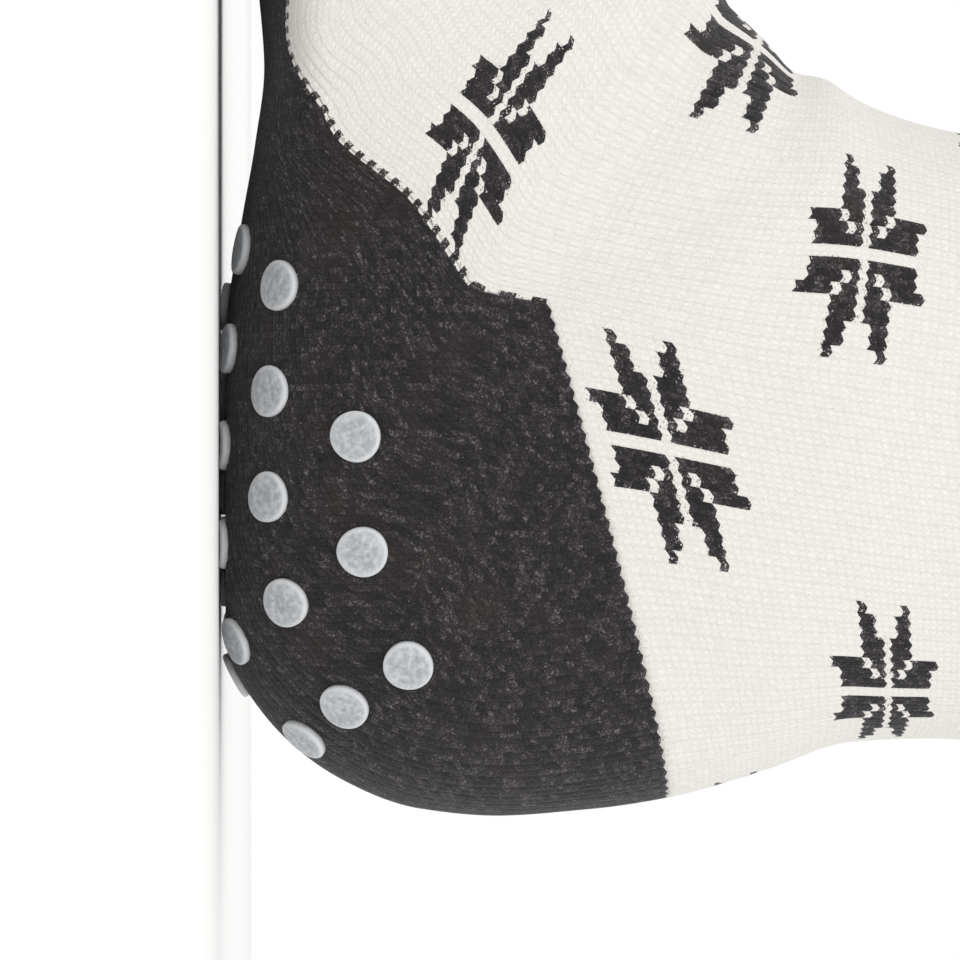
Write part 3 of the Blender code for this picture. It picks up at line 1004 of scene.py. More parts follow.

        # Painted shade: the hollow between two legs is painted darker
        split = add_node(tree, "ShaderNodeSeparateXYZ", {}, {0: inside.outputs["Vector"]})
        across = add_node(tree, "ShaderNodeMath", {"operation": "PINGPONG"}, {
            0: split.outputs["X"], 1: 0.5})
        along = add_node(tree, "ShaderNodeMath", {"operation": "PINGPONG"}, {
            0: split.outputs["Y"], 1: 0.5})
        round_across = add_node(tree, "ShaderNodeMapRange", {
            "interpolation_type": "SMOOTHSTEP"}, {
            "Value": across.outputs["Value"], "From Min": 0.0,
            "From Max": self.round_across})
        round_along = add_node(tree, "ShaderNodeMapRange", {
            "interpolation_type": "SMOOTHSTEP"}, {
            "Value": along.outputs["Value"], "From Min": 0.0,
            "From Max": self.round_along})
        bulge = add_node(tree, "ShaderNodeMath", {"operation": "MULTIPLY"}, {
            0: round_across.outputs["Result"], 1: round_along.outputs["Result"]})
        hollow_shade = add_node(tree, "ShaderNodeMath", {"operation": "MULTIPLY_ADD"}, {
            0: bulge.outputs["Value"], 1: -self.hollow_shade, 2: self.hollow_shade})

        # The groove between two wales runs on as a fine line, in the bump and as painted shade in
        # the colour
        wale = add_node(tree, "ShaderNodeSeparateXYZ", {}, {0: moved.outputs["Vector"]})
        from_groove = add_node(tree, "ShaderNodeMath", {"operation": "PINGPONG"}, {
            0: wale.outputs["X"], 1: 0.5})
        groove = add_node(tree, "ShaderNodeMapRange", {"interpolation_type": "SMOOTHSTEP"}, {
            "Value": from_groove.outputs["Value"], "From Min": 0.0,
            "From Max": self.groove_width, "To Min": self.groove_shade, "To Max": 0.0})
        # Painted shade: the darker of the hollow's and the groove's painted shade
        deepest_shade = add_node(tree, "ShaderNodeMath", {"operation": "MAXIMUM"}, {
            0: hollow_shade.outputs["Value"], 1: groove.outputs["Result"]})
        relief = add_node(tree, "ShaderNodeMath", {"operation": "SUBTRACT"}, {
            0: bulge.outputs["Value"], 1: groove.outputs["Result"]})
        # Painted shade: each yarn's colour darkens in the hollows and grooves
        shaded_charcoal = add_node(tree, "ShaderNodeMix", {"data_type": "RGBA"}, {
            0: deepest_shade.outputs["Value"], 6: tinted.outputs[2],
            7: linear_colour(self.charcoal_painted_shade)})
        shaded_cream = add_node(tree, "ShaderNodeMix", {"data_type": "RGBA"}, {
            0: hollow_shade.outputs["Value"], 6: light.outputs["Color"],
            7: linear_colour(self.cream_painted_shade)})

        # Loose fibres of each yarn cross into the other
        yarn = add_node(tree, "ShaderNodeAttribute", {"attribute_name": "charcoal"})
        astray = add_node(tree, "ShaderNodeMath", {"operation": "MULTIPLY_ADD"}, {
            0: fibre.outputs["Fac"], 1: self.fuzz, 2: -self.fuzz / 2})
        crossed = add_node(tree, "ShaderNodeMath", {"operation": "ADD"}, {
            0: yarn.outputs["Fac"], 1: astray.outputs["Value"]})
        which = add_node(tree, "ShaderNodeMapRange", {"interpolation_type": "SMOOTHSTEP"}, {
            "Value": crossed.outputs["Value"], "From Min": self.yarn_edge[0],
            "From Max": self.yarn_edge[1]})
        colour = add_node(tree, "ShaderNodeMix", {"data_type": "RGBA"}, {
            0: which.outputs["Result"], 6: shaded_cream.outputs[2], 7: shaded_charcoal.outputs[2]})

        fibres = add_node(tree, "ShaderNodeBump", {}, {
            "Height": fibre.outputs["Fac"], "Distance": self.fibre_depth, "Strength": 1.0})
        stitches = add_node(tree, "ShaderNodeBump", {}, {
            "Height": relief.outputs["Value"], "Distance": self.stitch_depth,
            "Strength": self.stitch_strength, "Normal": fibres.outputs["Normal"]})
        tree.links.new(colour.outputs[2], shader.inputs["Base Color"])
        tree.links.new(stitches.outputs["Normal"], shader.inputs["Normal"])
        shader.inputs["Roughness"].default_value = self.roughness
        shader.inputs["IOR"].default_value = self.ior
        shader.inputs["Sheen Weight"].default_value = self.sheen
        shader.inputs["Sheen Roughness"].default_value = self.sheen_roughness
        return material


@dataclass(frozen=True)
class BrushedFleece:
    """Polyester fleece lining, raised by brushing: a deep, matt and slightly clumped pile."""

    name: str = "fleece_lining"
    pile: tuple[tuple[float, str], ...] = (
        (0.30, "#c9c4bb"),
        (0.55, "#e3dfd7"),
        (0.75, "#f1eee8"),
    )
    clump: float = 1.6 * MM
    clump_detail: float = 4.0
    clump_roughness: float = 0.65
    depth: float = 0.5 * MM
    roughness: float = 1.0
    sheen: float = 0.3

    def material(self) -> bpy.types.Material:
        """Make the lining's material.

        Returns:
            The new material.
        """
        material, tree, shader = new_material(self.name)
        coords = add_node(tree, "ShaderNodeTexCoord")
        clumps = add_node(tree, "ShaderNodeTexNoise", {}, {
            "Vector": coords.outputs["Object"], "Scale": 1 / self.clump,
            "Detail": self.clump_detail, "Roughness": self.clump_roughness})
        colour = add_node(tree, "ShaderNodeValToRGB", {"stops": self.pile}, {
            "Fac": clumps.outputs["Fac"]})
        bump = add_node(tree, "ShaderNodeBump", {}, {
            "Height": clumps.outputs["Fac"], "Distance": self.depth, "Strength": 1.0})
        tree.links.new(colour.outputs["Color"], shader.inputs["Base Color"])
        tree.links.new(bump.outputs["Normal"], shader.inputs["Normal"])
        shader.inputs["Roughness"].default_value = self.roughness
        shader.inputs["Sheen Weight"].default_value = self.sheen
        return material


@dataclass(frozen=True)
class PrintedSilicone:
    """Silicone rubber, screen printed and cured: a grey, half-matt skin with fine pits.

    Light comes through its thin rim, which looks paler than the middle; that paler rim is painted
    light in the colour.
    """

    name: str = "grip_silicone"
    middle: tuple[tuple[float, str], ...] = (
        (0.36, "#9ea1a5"),
        (0.50, "#b1b4b8"),
        (0.66, "#c9cbce"),
    )
    # Painted light: the paler colour of the thin rim, where light comes through
    rim: str = "#d8dadc"
    pit: float = 0.80 * MM
    pit_detail: float = 3.0
    pit_roughness: float = 0.6
    pit_depth: float = 0.08 * MM
    pit_strength: float = 0.6
    roughness: float = 0.42
    ior: float = 1.41

    def material(self) -> bpy.types.Material:
        """Make the dots' material.

        Returns:
            The new material.
        """
        material, tree, shader = new_material(self.name)
        coords = add_node(tree, "ShaderNodeTexCoord")
        pits = add_node(tree, "ShaderNodeTexNoise", {}, {
            "Vector": coords.outputs["Object"], "Scale": 1 / self.pit,
            "Detail": self.pit_detail, "Roughness": self.pit_roughness})
        colour = add_node(tree, "ShaderNodeValToRGB", {"stops": self.middle}, {
            "Fac": pits.outputs["Fac"]})
        # Painted light: the rim's share mixes the paler rim colour in
        edge = add_node(tree, "ShaderNodeAttribute", {"attribute_name": "rim"})
        rim_painted_light = add_node(tree, "ShaderNodeMix", {"data_type": "RGBA"}, {
            0: edge.outputs["Fac"], 6: colour.outputs["Color"], 7: linear_colour(self.rim)})
        bump = add_node(tree, "ShaderNodeBump", {}, {
            "Height": pits.outputs["Fac"], "Distance": self.pit_depth,
            "Strength": self.pit_strength})
        tree.links.new(rim_painted_light.outputs[2], shader.inputs["Base Color"])
        tree.links.new(bump.outputs["Normal"], shader.inputs["Normal"])
        shader.inputs["Roughness"].default_value = self.roughness
        shader.inputs["IOR"].default_value = self.ior
        return material


@dataclass(frozen=True)
class Courses:
    """How many courses each part of the sock has, and where they lie.

    The foot's first courses are taller, and even out over a share of the way to the toe.
    """

    cuff: int = 34
    leg: int = 94
    corner: int = 5
    foot: int = 150
    corner_gain: float = 0.052
    corner_reach: float = 0.15
    upper_heel: int = 58
    lower_heel: int = 72
    toe: int = 45
    cuff_height: float = 34 * MM
    toe_length: float = 47 * MM

    def cuff_seam(self, form: SockForm) -> float:
        """Find the ring number where the rib cuff ends, as the solids have it.

        Args:
            form: the sock's surface.

        Returns:
            The ring number.
        """
        samples = np.linspace(0, form.heel_edge, SEAM_SAMPLES)
        rings = form.ring_at(samples)
        drop = form.leg_height - (rings[:, 1] + rings[:, 3] + rings[:, 5]) / 3
        return float(np.interp(self.cuff_height, drop, samples))

    def toe_seam(self, form: SockForm) -> float:
        """Find the ring number where the toe pocket starts, as the solids have it.

        Args:
            form: the sock's surface.

        Returns:
            The ring number.
        """
        samples = np.linspace(form.sole_start, form.toe_tip, SEAM_SAMPLES)
        side_x = form.ring_at(samples)[:, 2] - form.heel_back_x
        return float(np.interp(form.foot_length - self.toe_length, side_x, samples))

    def leg_places(self, form: SockForm) -> np.ndarray:
        """List the courses' edges from the cuff down to the heel's edge."""
        return form.even_places(self.cuff_seam(form), form.heel_edge, self.leg,
                                (0.0, math.pi / 2, math.pi))

    def corner_places(self, form: SockForm) -> np.ndarray:
        """List the courses' edges of the instep beside the heel pocket's corner."""
        return form.even_places(form.heel_edge, form.sole_start, self.corner, (math.pi / 2,))

    def foot_places(self, form: SockForm) -> np.ndarray:
        """List the courses' edges from the heel pocket to the toe pocket.

        Args:
            form: the sock's surface.

        Returns:
            The ring number of each edge.
        """
        even = form.even_places(form.sole_start, self.toe_seam(form), self.foot, (math.pi / 2,))
        shares = np.linspace(0, 1, self.foot + 1)
        taller = shares + self.corner_gain * (1 - np.exp(-shares / self.corner_reach))
        return np.interp(taller / taller[-1], shares, even)


def stitch_columns(first: float, last: float) -> np.ndarray:
    """List the wale numbers of the grid's columns."""
    return np.linspace(first, last, round((last - first) * STITCH_COLUMNS) + 1)


@dataclass
class LegAndInstep:
    """The cream leg and instep with the knitted stars."""

    form: SockForm
    courses: Courses
    stitches: Stitches
    pattern: StarPattern
    wall: float = 2.8 * MM
    wall_step: int = 4

    # Away from the side a course leans on towards the toe, by up to this many courses. The lean
    # comes and goes between these courses, counted down from the heel's edge
    lean: float = 9.5
    lean_width: float = 24 * MM
    lean_rise: tuple[float, float] = (-20, 14)
    lean_fall: tuple[float, float] = (34, 150)
    # Past the plain courses the foot's stars take up more courses, which are lower than the leg's
    plain_courses: int = 30
    foot_chart: float = 0.72
    tick_width: float = 0.5

    def build(self, knit: bpy.types.Material, fleece: bpy.types.Material) -> bpy.types.Object:
        """Build the piece.

        Args:
            knit: the material outside.
            fleece: the material of the lining.

        Returns:
            The new object.
        """
        leg = self.courses.leg_places(self.form)
        corner = self.courses.corner_places(self.form)[1:]
        foot = self.courses.foot_places(self.form)[1:]
        places = np.concatenate([leg, corner, foot])
        wales = stitch_columns(0, WALES)
        numbers = self.courses.leg - np.arange(len(places), dtype=float)
        points, normals = self.stitches.lay(self.form, places, wales, numbers,
                                            shift=self.courses_moved(len(places), wales))
        cells = np.ones((len(places) - 1, len(wales) - 1), bool)
        instep = (wales[:-1] >= SIDE_WALE) & (wales[:-1] < WALES - SIDE_WALE)
        cells[self.courses.leg:] = instep[None, :]
        last_leg_row = self.courses.leg
        wall_rows = [*range(0, last_leg_row, self.wall_step),
                     *range(last_leg_row, len(places) - 1, self.wall_step), len(places) - 1]
        v = np.repeat(numbers[:, None], len(wales), axis=1)
        shell = KnitShell("leg_and_instep", points[:, :-1], normals[:, :-1], self.wall, cells,
                          wales, (v[:-1], v[1:]), self.charcoal(numbers, wales) | ~cells,
                          wall_rows, shape=KnitShape.TUBE)
        return shell.build([knit, fleece])

    def courses_moved(self, count: int, wales: np.ndarray) -> np.ndarray:
        """Let the courses in front of the heel's corner lean towards the toe.

        Args:
            count: how many rows the grid has.
            wales: the wale number at each column.

        Returns:
            How many courses each point is moved on.
        """
        rows = np.arange(count) - self.courses.leg
        amount = smooth_step(rows, *self.lean_rise) * (1 - smooth_step(rows, *self.lean_fall))
        away = np.clip(np.minimum(wales, WALES - wales) - SIDE_WALE, 0, None) * WALE_PITCH
        return amount[:, None] * self.lean * (1 - np.exp(-away / self.lean_width))[None, :]

    def charcoal(self, numbers: np.ndarray, wales: np.ndarray) -> np.ndarray:
        """Work the stars, and the ticks of charcoal beside the sole on every other course.

        Args:
            numbers: the course number at each row of the grid.
            wales: the wale number at each column.

        Returns:
            True for each cell of the grid that is charcoal.
        """
        course = numbers[1:, None].astype(int)
        wale = np.floor(wales[None, :-1]).astype(int)
        beyond = np.clip(-self.plain_courses - course, 0, None)
        charted = course + np.floor(beyond * (1 - self.foot_chart)).astype(int)
        stars = self.pattern.charcoal_at(wale, charted)
        middle = (wales[None, :-1] + wales[None, 1:]) / 2
        from_edge = np.minimum(middle, WALES - middle) - SIDE_WALE
        beside_sole = np.abs(from_edge - self.tick_width / 2) < self.tick_width / 2
        ticks = beside_sole & (course < 0) & (course % 2 == 1)
        return stars | ticks


@dataclass
class HeelAndSole:
    """The charcoal heel pocket and sole, with cream crossing into every other course's end.

    The courses turn from down the heel to along the sole at a mitre, some rings under its edge.
    """

    form: SockForm
    courses: Courses
    stitches: Stitches
    mitre_rings: int = 4
    cross_width: float = 0.5
    wall: float = 3.4 * MM
    wall_step: int = 4

    def build(self, knit: bpy.types.Material, fleece: bpy.types.Material) -> bpy.types.Object:
        """Build the piece.

        Args:
            knit: the material outside.
            fleece: the material of the lining.

        Returns:
            The new object.
        """
        form = self.form
        mitre = form.heel_edge + self.mitre_rings
        upper = form.even_places(form.heel_edge, mitre, self.courses.upper_heel, (0.0,))
        lower = form.even_places(mitre, form.sole_start, self.courses.lower_heel, (0.0,))[1:]
        foot = self.courses.foot_places(form)[1:]
        places = np.concatenate([upper, lower, foot])
        wales = stitch_columns(-SIDE_WALE, SIDE_WALE)
        far = np.full(len(places), NO_CREASE)
        points, normals = self.stitches.lay(form, places, wales, far)
        cells = np.ones((len(places) - 1, len(wales) - 1), bool)
        rows = len(places) - 1
        heel_rows = self.courses.upper_heel + self.courses.lower_heel
        wall_rows = [*range(0, heel_rows, self.wall_step),
                     *range(heel_rows, rows, self.wall_step), rows]
        numbers = -(self.courses.corner + 1 + np.arange(rows - heel_rows))
        at_edge = np.abs(wales[:-1] + wales[1:]) / 2 > SIDE_WALE - self.cross_width
        charcoal = np.ones_like(cells)
        charcoal[heel_rows:] = ~(at_edge[None, :] & (numbers % 2 == 0)[:, None])
        shell = KnitShell("heel_and_sole", points, normals, self.wall, cells, wales,
                          self.mitred_rows(points), charcoal, wall_rows)
        return shell.build([knit, fleece])

    def mitred_rows(self, points: np.ndarray) -> tuple[np.ndarray, np.ndarray]:
        """Count the courses down from the heel's edge, and after the mitre along the sole.

        Args:
            points: the grid's points.

        Returns:
            The course number at each row's start and at its end, for each column.
        """
        steps = np.linalg.norm(np.diff(points, axis=0), axis=2)
        down = -np.vstack([np.zeros(points.shape[1]), np.cumsum(steps, axis=0)]) / COURSE_PITCH
        along = -(points[..., 0] - self.form.heel_back_x) / COURSE_PITCH - WALES
        after = (np.arange(points.shape[0] - 1) >= self.courses.upper_heel)[:, None]
        return np.where(after, along[:-1], down[:-1]), np.where(after, along[1:], down[1:])


@dataclass
class ToePocket:
    """The charcoal toe pocket, closed at its tip."""

    form: SockForm
    courses: Courses
    stitches: Stitches
    wall: float = 3.0 * MM
    wall_step: int = 5

    def build(self, knit: bpy.types.Material, fleece: bpy.types.Material) -> bpy.types.Object:
        """Build the piece.

        Args:
            knit: the material outside.
            fleece: the material of the lining.

        Returns:
            The new object.
        """
        form = self.form
        seam = self.courses.toe_seam(form)
        places = form.even_places(seam, form.toe_tip, self.courses.toe, (0.0, math.pi / 2, math.pi))
        wales = stitch_columns(0, WALES)
        far = np.full(len(places), NO_CREASE)
        points, normals = self.stitches.lay(form, places, wales, far)
        cells = np.ones((len(places) - 1, len(wales) - 1), bool)
        v = -(points[..., 0] - form.heel_back_x) / COURSE_PITCH
        wall_rows = [*range(0, len(places) - 1, self.wall_step), len(places) - 1]
        shell = KnitShell("toe_pocket", points[:, :-1], normals[:, :-1], self.wall, cells, wales,
                          (v[:-1], v[1:]), np.ones_like(cells), wall_rows,
                          shape=KnitShape.POCKET,
                          above=np.minimum(wales[:-1], WALES - wales[:-1]) < SIDE_WALE)
        return shell.build([knit, fleece])


@dataclass
class RibCuff:
    """The cream cuff in one-and-one rib, with a rolled welt at its top."""

    form: SockForm
    courses: Courses
    stitches: Stitches
    wall: float = 3.6 * MM
    rib_rise: float = 0.45 * MM
    rib_fall: float = -0.45 * MM
    rib_edge: tuple[float, float] = (0.15, 0.85)
    welt: float = 1.2 * MM
    welt_rows: int = 5
    inside_rows: int = 10
    fade_rows: int = 6

    def build(self, knit: bpy.types.Material, fleece: bpy.types.Material) -> bpy.types.Object:
        """Build the piece, from its lining over the welt and down to the leg.

        Args:
            knit: the material outside.
            fleece: the material of the lining.

        Returns:
            The new object.
        """
        form = self.form
        seam = self.courses.cuff_seam(form)
        places = form.even_places(0, seam, self.courses.cuff, (0.0, math.pi / 2, math.pi))
        wales = stitch_columns(0, WALES)
        numbers = self.courses.leg + self.courses.cuff - np.arange(len(places), dtype=float)
        ribs = np.cos(wales * math.pi) * 0.5 + 0.5
        rib = self.rib_fall + (self.rib_rise - self.rib_fall) * smooth_step(ribs, *self.rib_edge)
        fade = smooth_step(len(places) - 1 - np.arange(len(places)), 0, self.fade_rows)
        points, normals = self.stitches.lay(form, places, wales, numbers,
                                            rib[None, :] * fade[:, None])
        over, over_normals = self.over_the_welt(points[0], normals[0])
        points = np.vstack([over, points])
        normals = np.vstack([over_normals, normals])
        top = self.courses.leg + self.courses.cuff
        extra = np.arange(len(over), 0, -1, dtype=float) + top
        v = np.repeat(np.concatenate([extra, numbers])[:, None], len(wales), axis=1)
        band = KnitBand("rib_cuff", points[:, :-1], normals[:, :-1], wales, (v[:-1], v[1:]))
        return band.build([knit, fleece])

    def over_the_welt(self, edge: np.ndarray, normal: np.ndarray) -> tuple[np.ndarray, np.ndarray]:
        """Roll the knit over the top and down the inside.

        Args:
            edge: the points of the cuff's top course.
            normal: their outward normals.

        Returns:
            The points and normals of the rows inside and over the welt, from the lowest inside.
        """
        level = unit(normal * np.array([1.0, 1.0, 0.0]))
        middle = edge - level * self.wall / 2
        rows = []
        facing = []
        for i in range(self.inside_rows, 0, -1):
            rows.append(edge - level * self.wall - np.array([0, 0, i * COURSE_PITCH]))
            facing.append(-level)
        for i in range(self.welt_rows):
            angle = math.pi * (1 - i / self.welt_rows)
            rise = np.array([0, 0, math.sin(angle) * self.welt])
            rows.append(middle + level * math.cos(angle) * self.wall / 2 + rise)
            facing.append(unit(level * math.cos(angle) + np.array([0, 0, math.sin(angle)])))
        return np.array(rows), np.array(facing)


@dataclass
class KnitBand:
    """A ring of knit whose first and last rows are joined by a lining."""

    name: str
    points: np.ndarray
    normals: np.ndarray
    wales: np.ndarray
    stitch_rows: tuple[np.ndarray, np.ndarray]

    def build(self, materials: list[bpy.types.Material]) -> bpy.types.Object:
        """Make the band's mesh.

        Args:
            materials: the knit's material and the fleece's.

        Returns:
            The new object.
        """
        rows, columns = self.points.shape[:2]
        ids = np.arange(rows * columns).reshape(rows, columns)
        following = np.roll(ids, -1, axis=1)
        quads = np.stack([ids[:-1], ids[1:], following[1:], following[:-1]], axis=-1)
        lining = np.stack([ids[-1], ids[0], following[0], following[-1]], axis=-1)
        faces = np.vstack([quads.reshape(-1, 4), lining])
        start_v, end_v = self.stitch_rows
        u = np.broadcast_to(self.wales[None, :], (rows, len(self.wales)))
        corner_u = np.stack([u[:-1, :-1], u[1:, :-1], u[1:, 1:], u[:-1, 1:]], axis=-1)
        corner_v = np.stack([start_v[:, :-1], end_v[:, :-1], end_v[:, 1:], start_v[:, 1:]],
                            axis=-1)
        corners = np.stack([corner_u, corner_v], axis=-1).reshape(-1, 4, 2)
        a, b, d = self.points[-2, 0], self.points[-1, 0], self.points[-2, 1]
        if np.dot(np.cross(b - a, d - a), self.normals[-2, 0]) < 0:
            faces = faces[:, ::-1]
            corners = corners[:, ::-1]
        return add_knit(self.name, self.points.reshape(-1, 3).tolist(), faces.tolist(),
                        corners.reshape(-1, 2), [], columns, materials)


@dataclass
class GripDots:
    """The printed grip dots of one patch of the sole, each where the frame has its solid."""

    name: str
    nodes: list[str]
    solids: dict[str, bpy.types.Object]
    ground: BVHTree
    diameter: float = 7.0 * MM
    sides: int = 36

    # The rim strays from a circle by up to twice this share of its radius
    unround: float = 0.012

    # share of the radius, height over the knit in mm
    profile: tuple[tuple[float, float], ...] = (
        (0.35, 0.95),
        (0.62, 0.97),
        (0.82, 1.00),
        (0.93, 0.93),
        (0.985, 0.72),
        (1.00, 0.40),
        (0.99, -0.30),
    )
    # How far each ring of the profile takes the rim's painted light
    painted_light_by_ring: tuple[float, ...] = (0.0, 0.05, 0.25, 0.8, 1.0, 0.8, 0.0)

    def build(self, silicone: bpy.types.Material) -> bpy.types.Object:
        """Build all the dots of the patch as one mesh.

        Args:
            silicone: the dots' material.

        Returns:
            The new object.
        """
        points: list[Vector] = []
        faces: list[list[int]] = []
        rims: list[float] = []
        wobble = np.random.default_rng(SEED)
        for node in self.nodes:
            self.add_dot(node, wobble, points, faces, rims)
        mesh = bpy.data.meshes.new(self.name)
        mesh.from_pydata([tuple(point) for point in points], [], faces)
        # The rim's painted light, for the silicone's colour
        rim = mesh.attributes.new("rim", "FLOAT", "POINT")
        rim.data.foreach_set("value", rims)
        mesh.materials.append(silicone)
        return add_smooth_object(self.name, mesh)

    def add_dot(self, node: str, wobble: np.random.Generator, points: list[Vector],
                faces: list[list[int]], rims: list[float]) -> None:
        """Add one dot that follows the curve of the knit under it.

        Args:
            node: the name of the dot's solid.
            wobble: the source of the dot's small unevenness.
            points: the mesh's points so far, added to.
            faces: its faces so far, added to.
            rims: how far each point takes the rim's painted light, added to.
        """
        corners = np.array([corner.co for corner in self.solids[node].data.vertices])
        centre = corners.mean(axis=0)
        normal = Vector(np.linalg.svd(corners - centre)[2][2])
        site = self.ground.find_nearest(Vector(centre))
        if normal.dot(site[1]) < 0:
            normal.negate()
        first = normal.orthogonal().normalized()
        second = normal.cross(first)
        phases = wobble.uniform(0, 2 * math.pi, 2)
        start = len(points)
        for (share, height), rim in zip(self.profile, self.painted_light_by_ring):
            for i in range(self.sides):
                angle = 2 * math.pi * i / self.sides
                uneven = 1 + self.unround * (math.sin(2 * angle + phases[0])
                                             + math.sin(3 * angle + phases[1]))
                reach = self.diameter / 2 * share * uneven
                spoke = first * math.cos(angle) + second * math.sin(angle)
                points.append(self.on_knit(Vector(centre) + spoke * reach, height))
                rims.append(rim)
        points.append(self.on_knit(Vector(centre), self.profile[0][1]))
        rims.append(0.0)
        points.append(self.on_knit(Vector(centre), self.profile[-1][1]))
        rims.append(0.0)
        top, bottom = len(points) - 2, len(points) - 1
        last = start + (len(self.profile) - 1) * self.sides
        for i in range(self.sides):
            j = (i + 1) % self.sides
            faces.append([start + i, start + j, top])
            faces.append([last + j, last + i, bottom])
            for level in range(start, last, self.sides):
                faces.append([level + j, level + i, level + self.sides + i,
                              level + self.sides + j])

    def on_knit(self, point: Vector, height: float) -> Vector:
        """Put a point over the knit nearest to it, and never under the floor.

        Args:
            point: the point.
            height: how high over the knit it goes, in mm.

        Returns:
            The point in its new place.
        """
        place, normal, _, _ = self.ground.find_nearest(point)
        lifted = place + normal * height * MM
        lifted.z = max(lifted.z, 0.0)
        return lifted


def smooth_ground(form: SockForm) -> BVHTree:
    """Make the sock's plain surface, which the dots are laid on.

    Args:
        form: the sock's surface.

    Returns:
        A tree that finds the nearest point of the surface.
    """
    places = np.linspace(form.heel_edge, form.toe_tip - 0.5, GROUND_ROWS)
    wales = stitch_columns(-SIDE_WALE, SIDE_WALE)[::GROUND_STEP]
    points = form.surface(places[:, None], form.wale_turns(places, wales))
    rows, columns = points.shape[:2]
    ids = np.arange(rows * columns).reshape(rows, columns)
    quads = np.stack([ids[:-1, :-1], ids[:-1, 1:], ids[1:, 1:], ids[1:, :-1]], axis=-1)
    faces = quads.reshape(-1, 4)
    row, column = GROUND_CELL
    a, b, d = points[row, column], points[row, column + 1], points[row + 1, column]
    outward = a - np.array([a[0], 0, form.sole_edge_height])
    if np.dot(np.cross(b - a, d - a), outward) < 0:
        faces = faces[:, ::-1]
    return BVHTree.FromPolygons(points.reshape(-1, 3).tolist(), faces.tolist())


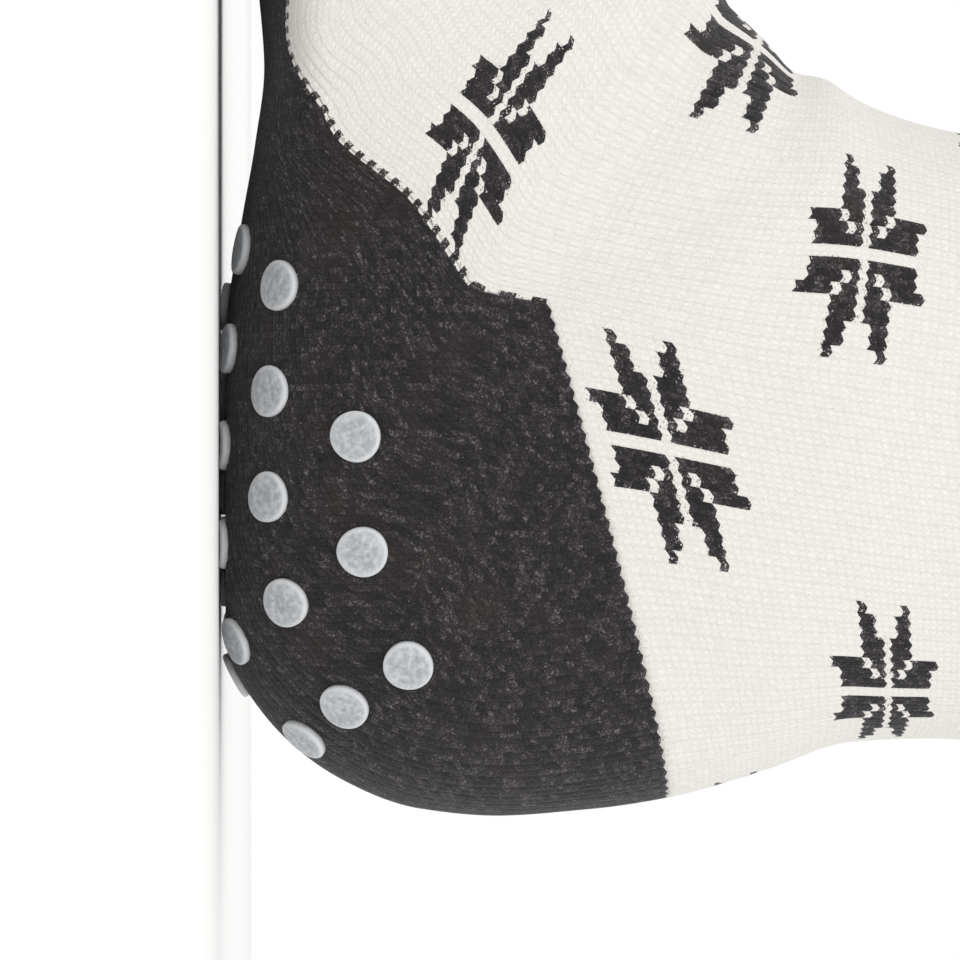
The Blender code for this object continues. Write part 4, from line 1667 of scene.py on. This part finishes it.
@dataclass
class Studio:
    """The floor, the soft light and the camera."""

    floor_size: float = 8.0
    floor_colour: str = "#f4f4f3"
    floor_roughness: float = 0.9
    sky_colour: str = "#ffffff"
    sky_strength: float = 1.0
    view_transform: str = "Standard"
    key_power: float = 2.0
    key_size: float = 0.9
    key_place: tuple[float, float, float] = (-0.15, 0.75, 0.55)
    fill_power: float = 0.6
    fill_size: float = 1.2
    fill_place: tuple[float, float, float] = (0.5, -0.9, 0.7)
    light_target: tuple[float, float, float] = (-0.04, 0, 0.06)

    camera_height: float = 5 * MM
    camera_distance: float = 420 * MM
    frame_height: float = 128 * MM
    centre_along: float = 48.4 * MM
    centre_height: float = 35 * MM
    near_side: float = 34 * MM
    sensor_width: float = 36.0
    clip_start: float = 10 * MM

    def build_floor(self) -> bpy.types.Object:
        """Lay the plain pale floor.

        Returns:
            The new object.
        """
        half = self.floor_size / 2
        mesh = bpy.data.meshes.new("floor")
        mesh.from_pydata([(-half, -half, 0), (half, -half, 0), (half, half, 0), (-half, half, 0)],
                         [], [(0, 1, 2, 3)])
        material, _, shader = new_material("painted_floor")
        shader.inputs["Base Color"].default_value = linear_colour(self.floor_colour)
        shader.inputs["Roughness"].default_value = self.floor_roughness
        mesh.materials.append(material)
        floor = bpy.data.objects.new("floor", mesh)
        bpy.context.collection.objects.link(floor)
        return floor

    def build_light(self) -> None:
        """Set a pale sky, a large soft key light over the camera and a weak fill behind."""
        world = bpy.data.worlds.new("studio")
        world.use_nodes = True
        sky = world.node_tree.nodes["Background"]
        sky.inputs["Color"].default_value = linear_colour(self.sky_colour)
        sky.inputs["Strength"].default_value = self.sky_strength
        bpy.context.scene.world = world
        bpy.context.scene.view_settings.view_transform = self.view_transform
        self.add_light("key", self.key_place, self.key_size, self.key_power)
        self.add_light("fill", self.fill_place, self.fill_size, self.fill_power)

    def add_light(self, name: str, place: tuple[float, float, float], size: float,
                  power: float) -> None:
        """Add a square soft light that faces the sock.

        Args:
            name: the light's name.
            place: where it hangs.
            size: the length of its side.
            power: its power in watts.
        """
        data = bpy.data.lights.new(name, "AREA")
        data.size = size
        data.energy = power
        light = bpy.data.objects.new(name, data)
        light.location = place
        target = Vector(self.light_target)
        light.rotation_euler = (target - Vector(place)).to_track_quat("-Z", "Y").to_euler()
        bpy.context.collection.objects.link(light)

    def build_camera(self, form: SockForm) -> None:
        """Set the camera at the heel's left side, down on the floor, with the toe upwards.

        Args:
            form: the sock's surface.
        """
        data = bpy.data.cameras.new("camera")
        data.sensor_width = self.sensor_width
        data.lens = data.sensor_width * self.camera_distance / self.frame_height
        data.clip_start = self.clip_start
        camera = bpy.data.objects.new("camera", data)
        aim = Vector((form.heel_back_x + self.centre_along, self.near_side, self.centre_height))
        place = Vector((aim.x, self.near_side + self.camera_distance, self.camera_height))
        away = (place - aim).normalized()
        up = Vector((1, 0, 0))
        right = up.cross(away).normalized()
        turn = Matrix((right, up, away)).transposed()
        camera.matrix_world = Matrix.Translation(place) @ turn.to_4x4()
        bpy.context.collection.objects.link(camera)
        bpy.context.scene.camera = camera


def report(thing: bpy.types.Object) -> None:
    """Log a piece's name and its number of triangles."""
    thing.data.calc_loop_triangles()
    LOG.info("%s: %d triangles", thing.name, len(thing.data.loop_triangles))


def place_piece(thing: bpy.types.Object, nodes: list[str]) -> None:
    """Join a piece to the frame.

    Args:
        thing: the piece.
        nodes: the solids that it stands for.
    """
    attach(thing, "root")
    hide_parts(*nodes)
    report(thing)


def main() -> None:
    """Load the frame, build every piece around it and set the studio."""
    logging.basicConfig(level=logging.INFO, format="%(name)s: %(message)s")
    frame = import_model()
    form = SockForm()
    courses = Courses()
    stitches = Stitches()
    knit = BrushedKnit().material()
    fleece = BrushedFleece().material()
    silicone = PrintedSilicone().material()

    upper = LegAndInstep(form, courses, stitches, StarPattern()).build(knit, fleece)
    place_piece(upper, ["upper"])
    sole = HeelAndSole(form, courses, stitches).build(knit, fleece)
    place_piece(sole, ["sole"])
    toe = ToePocket(form, courses, stitches).build(knit, fleece)
    place_piece(toe, ["toe_cap"])
    cuff = RibCuff(form, courses, stitches).build(knit, fleece)
    place_piece(cuff, ["cuff"])

    ground = smooth_ground(form)
    for patch in DotPatch:
        start = f"grip_{patch.value}_"
        nodes = sorted(name for name in frame["nodes"] if name.startswith(start))
        dots = GripDots(f"{patch.value}_grip_dots", nodes, frame["nodes"], ground)
        place_piece(dots.build(silicone), nodes)

    studio = Studio()
    studio.build_floor()
    studio.build_light()
    studio.build_camera(form)


if __name__ == "__main__":
    main()
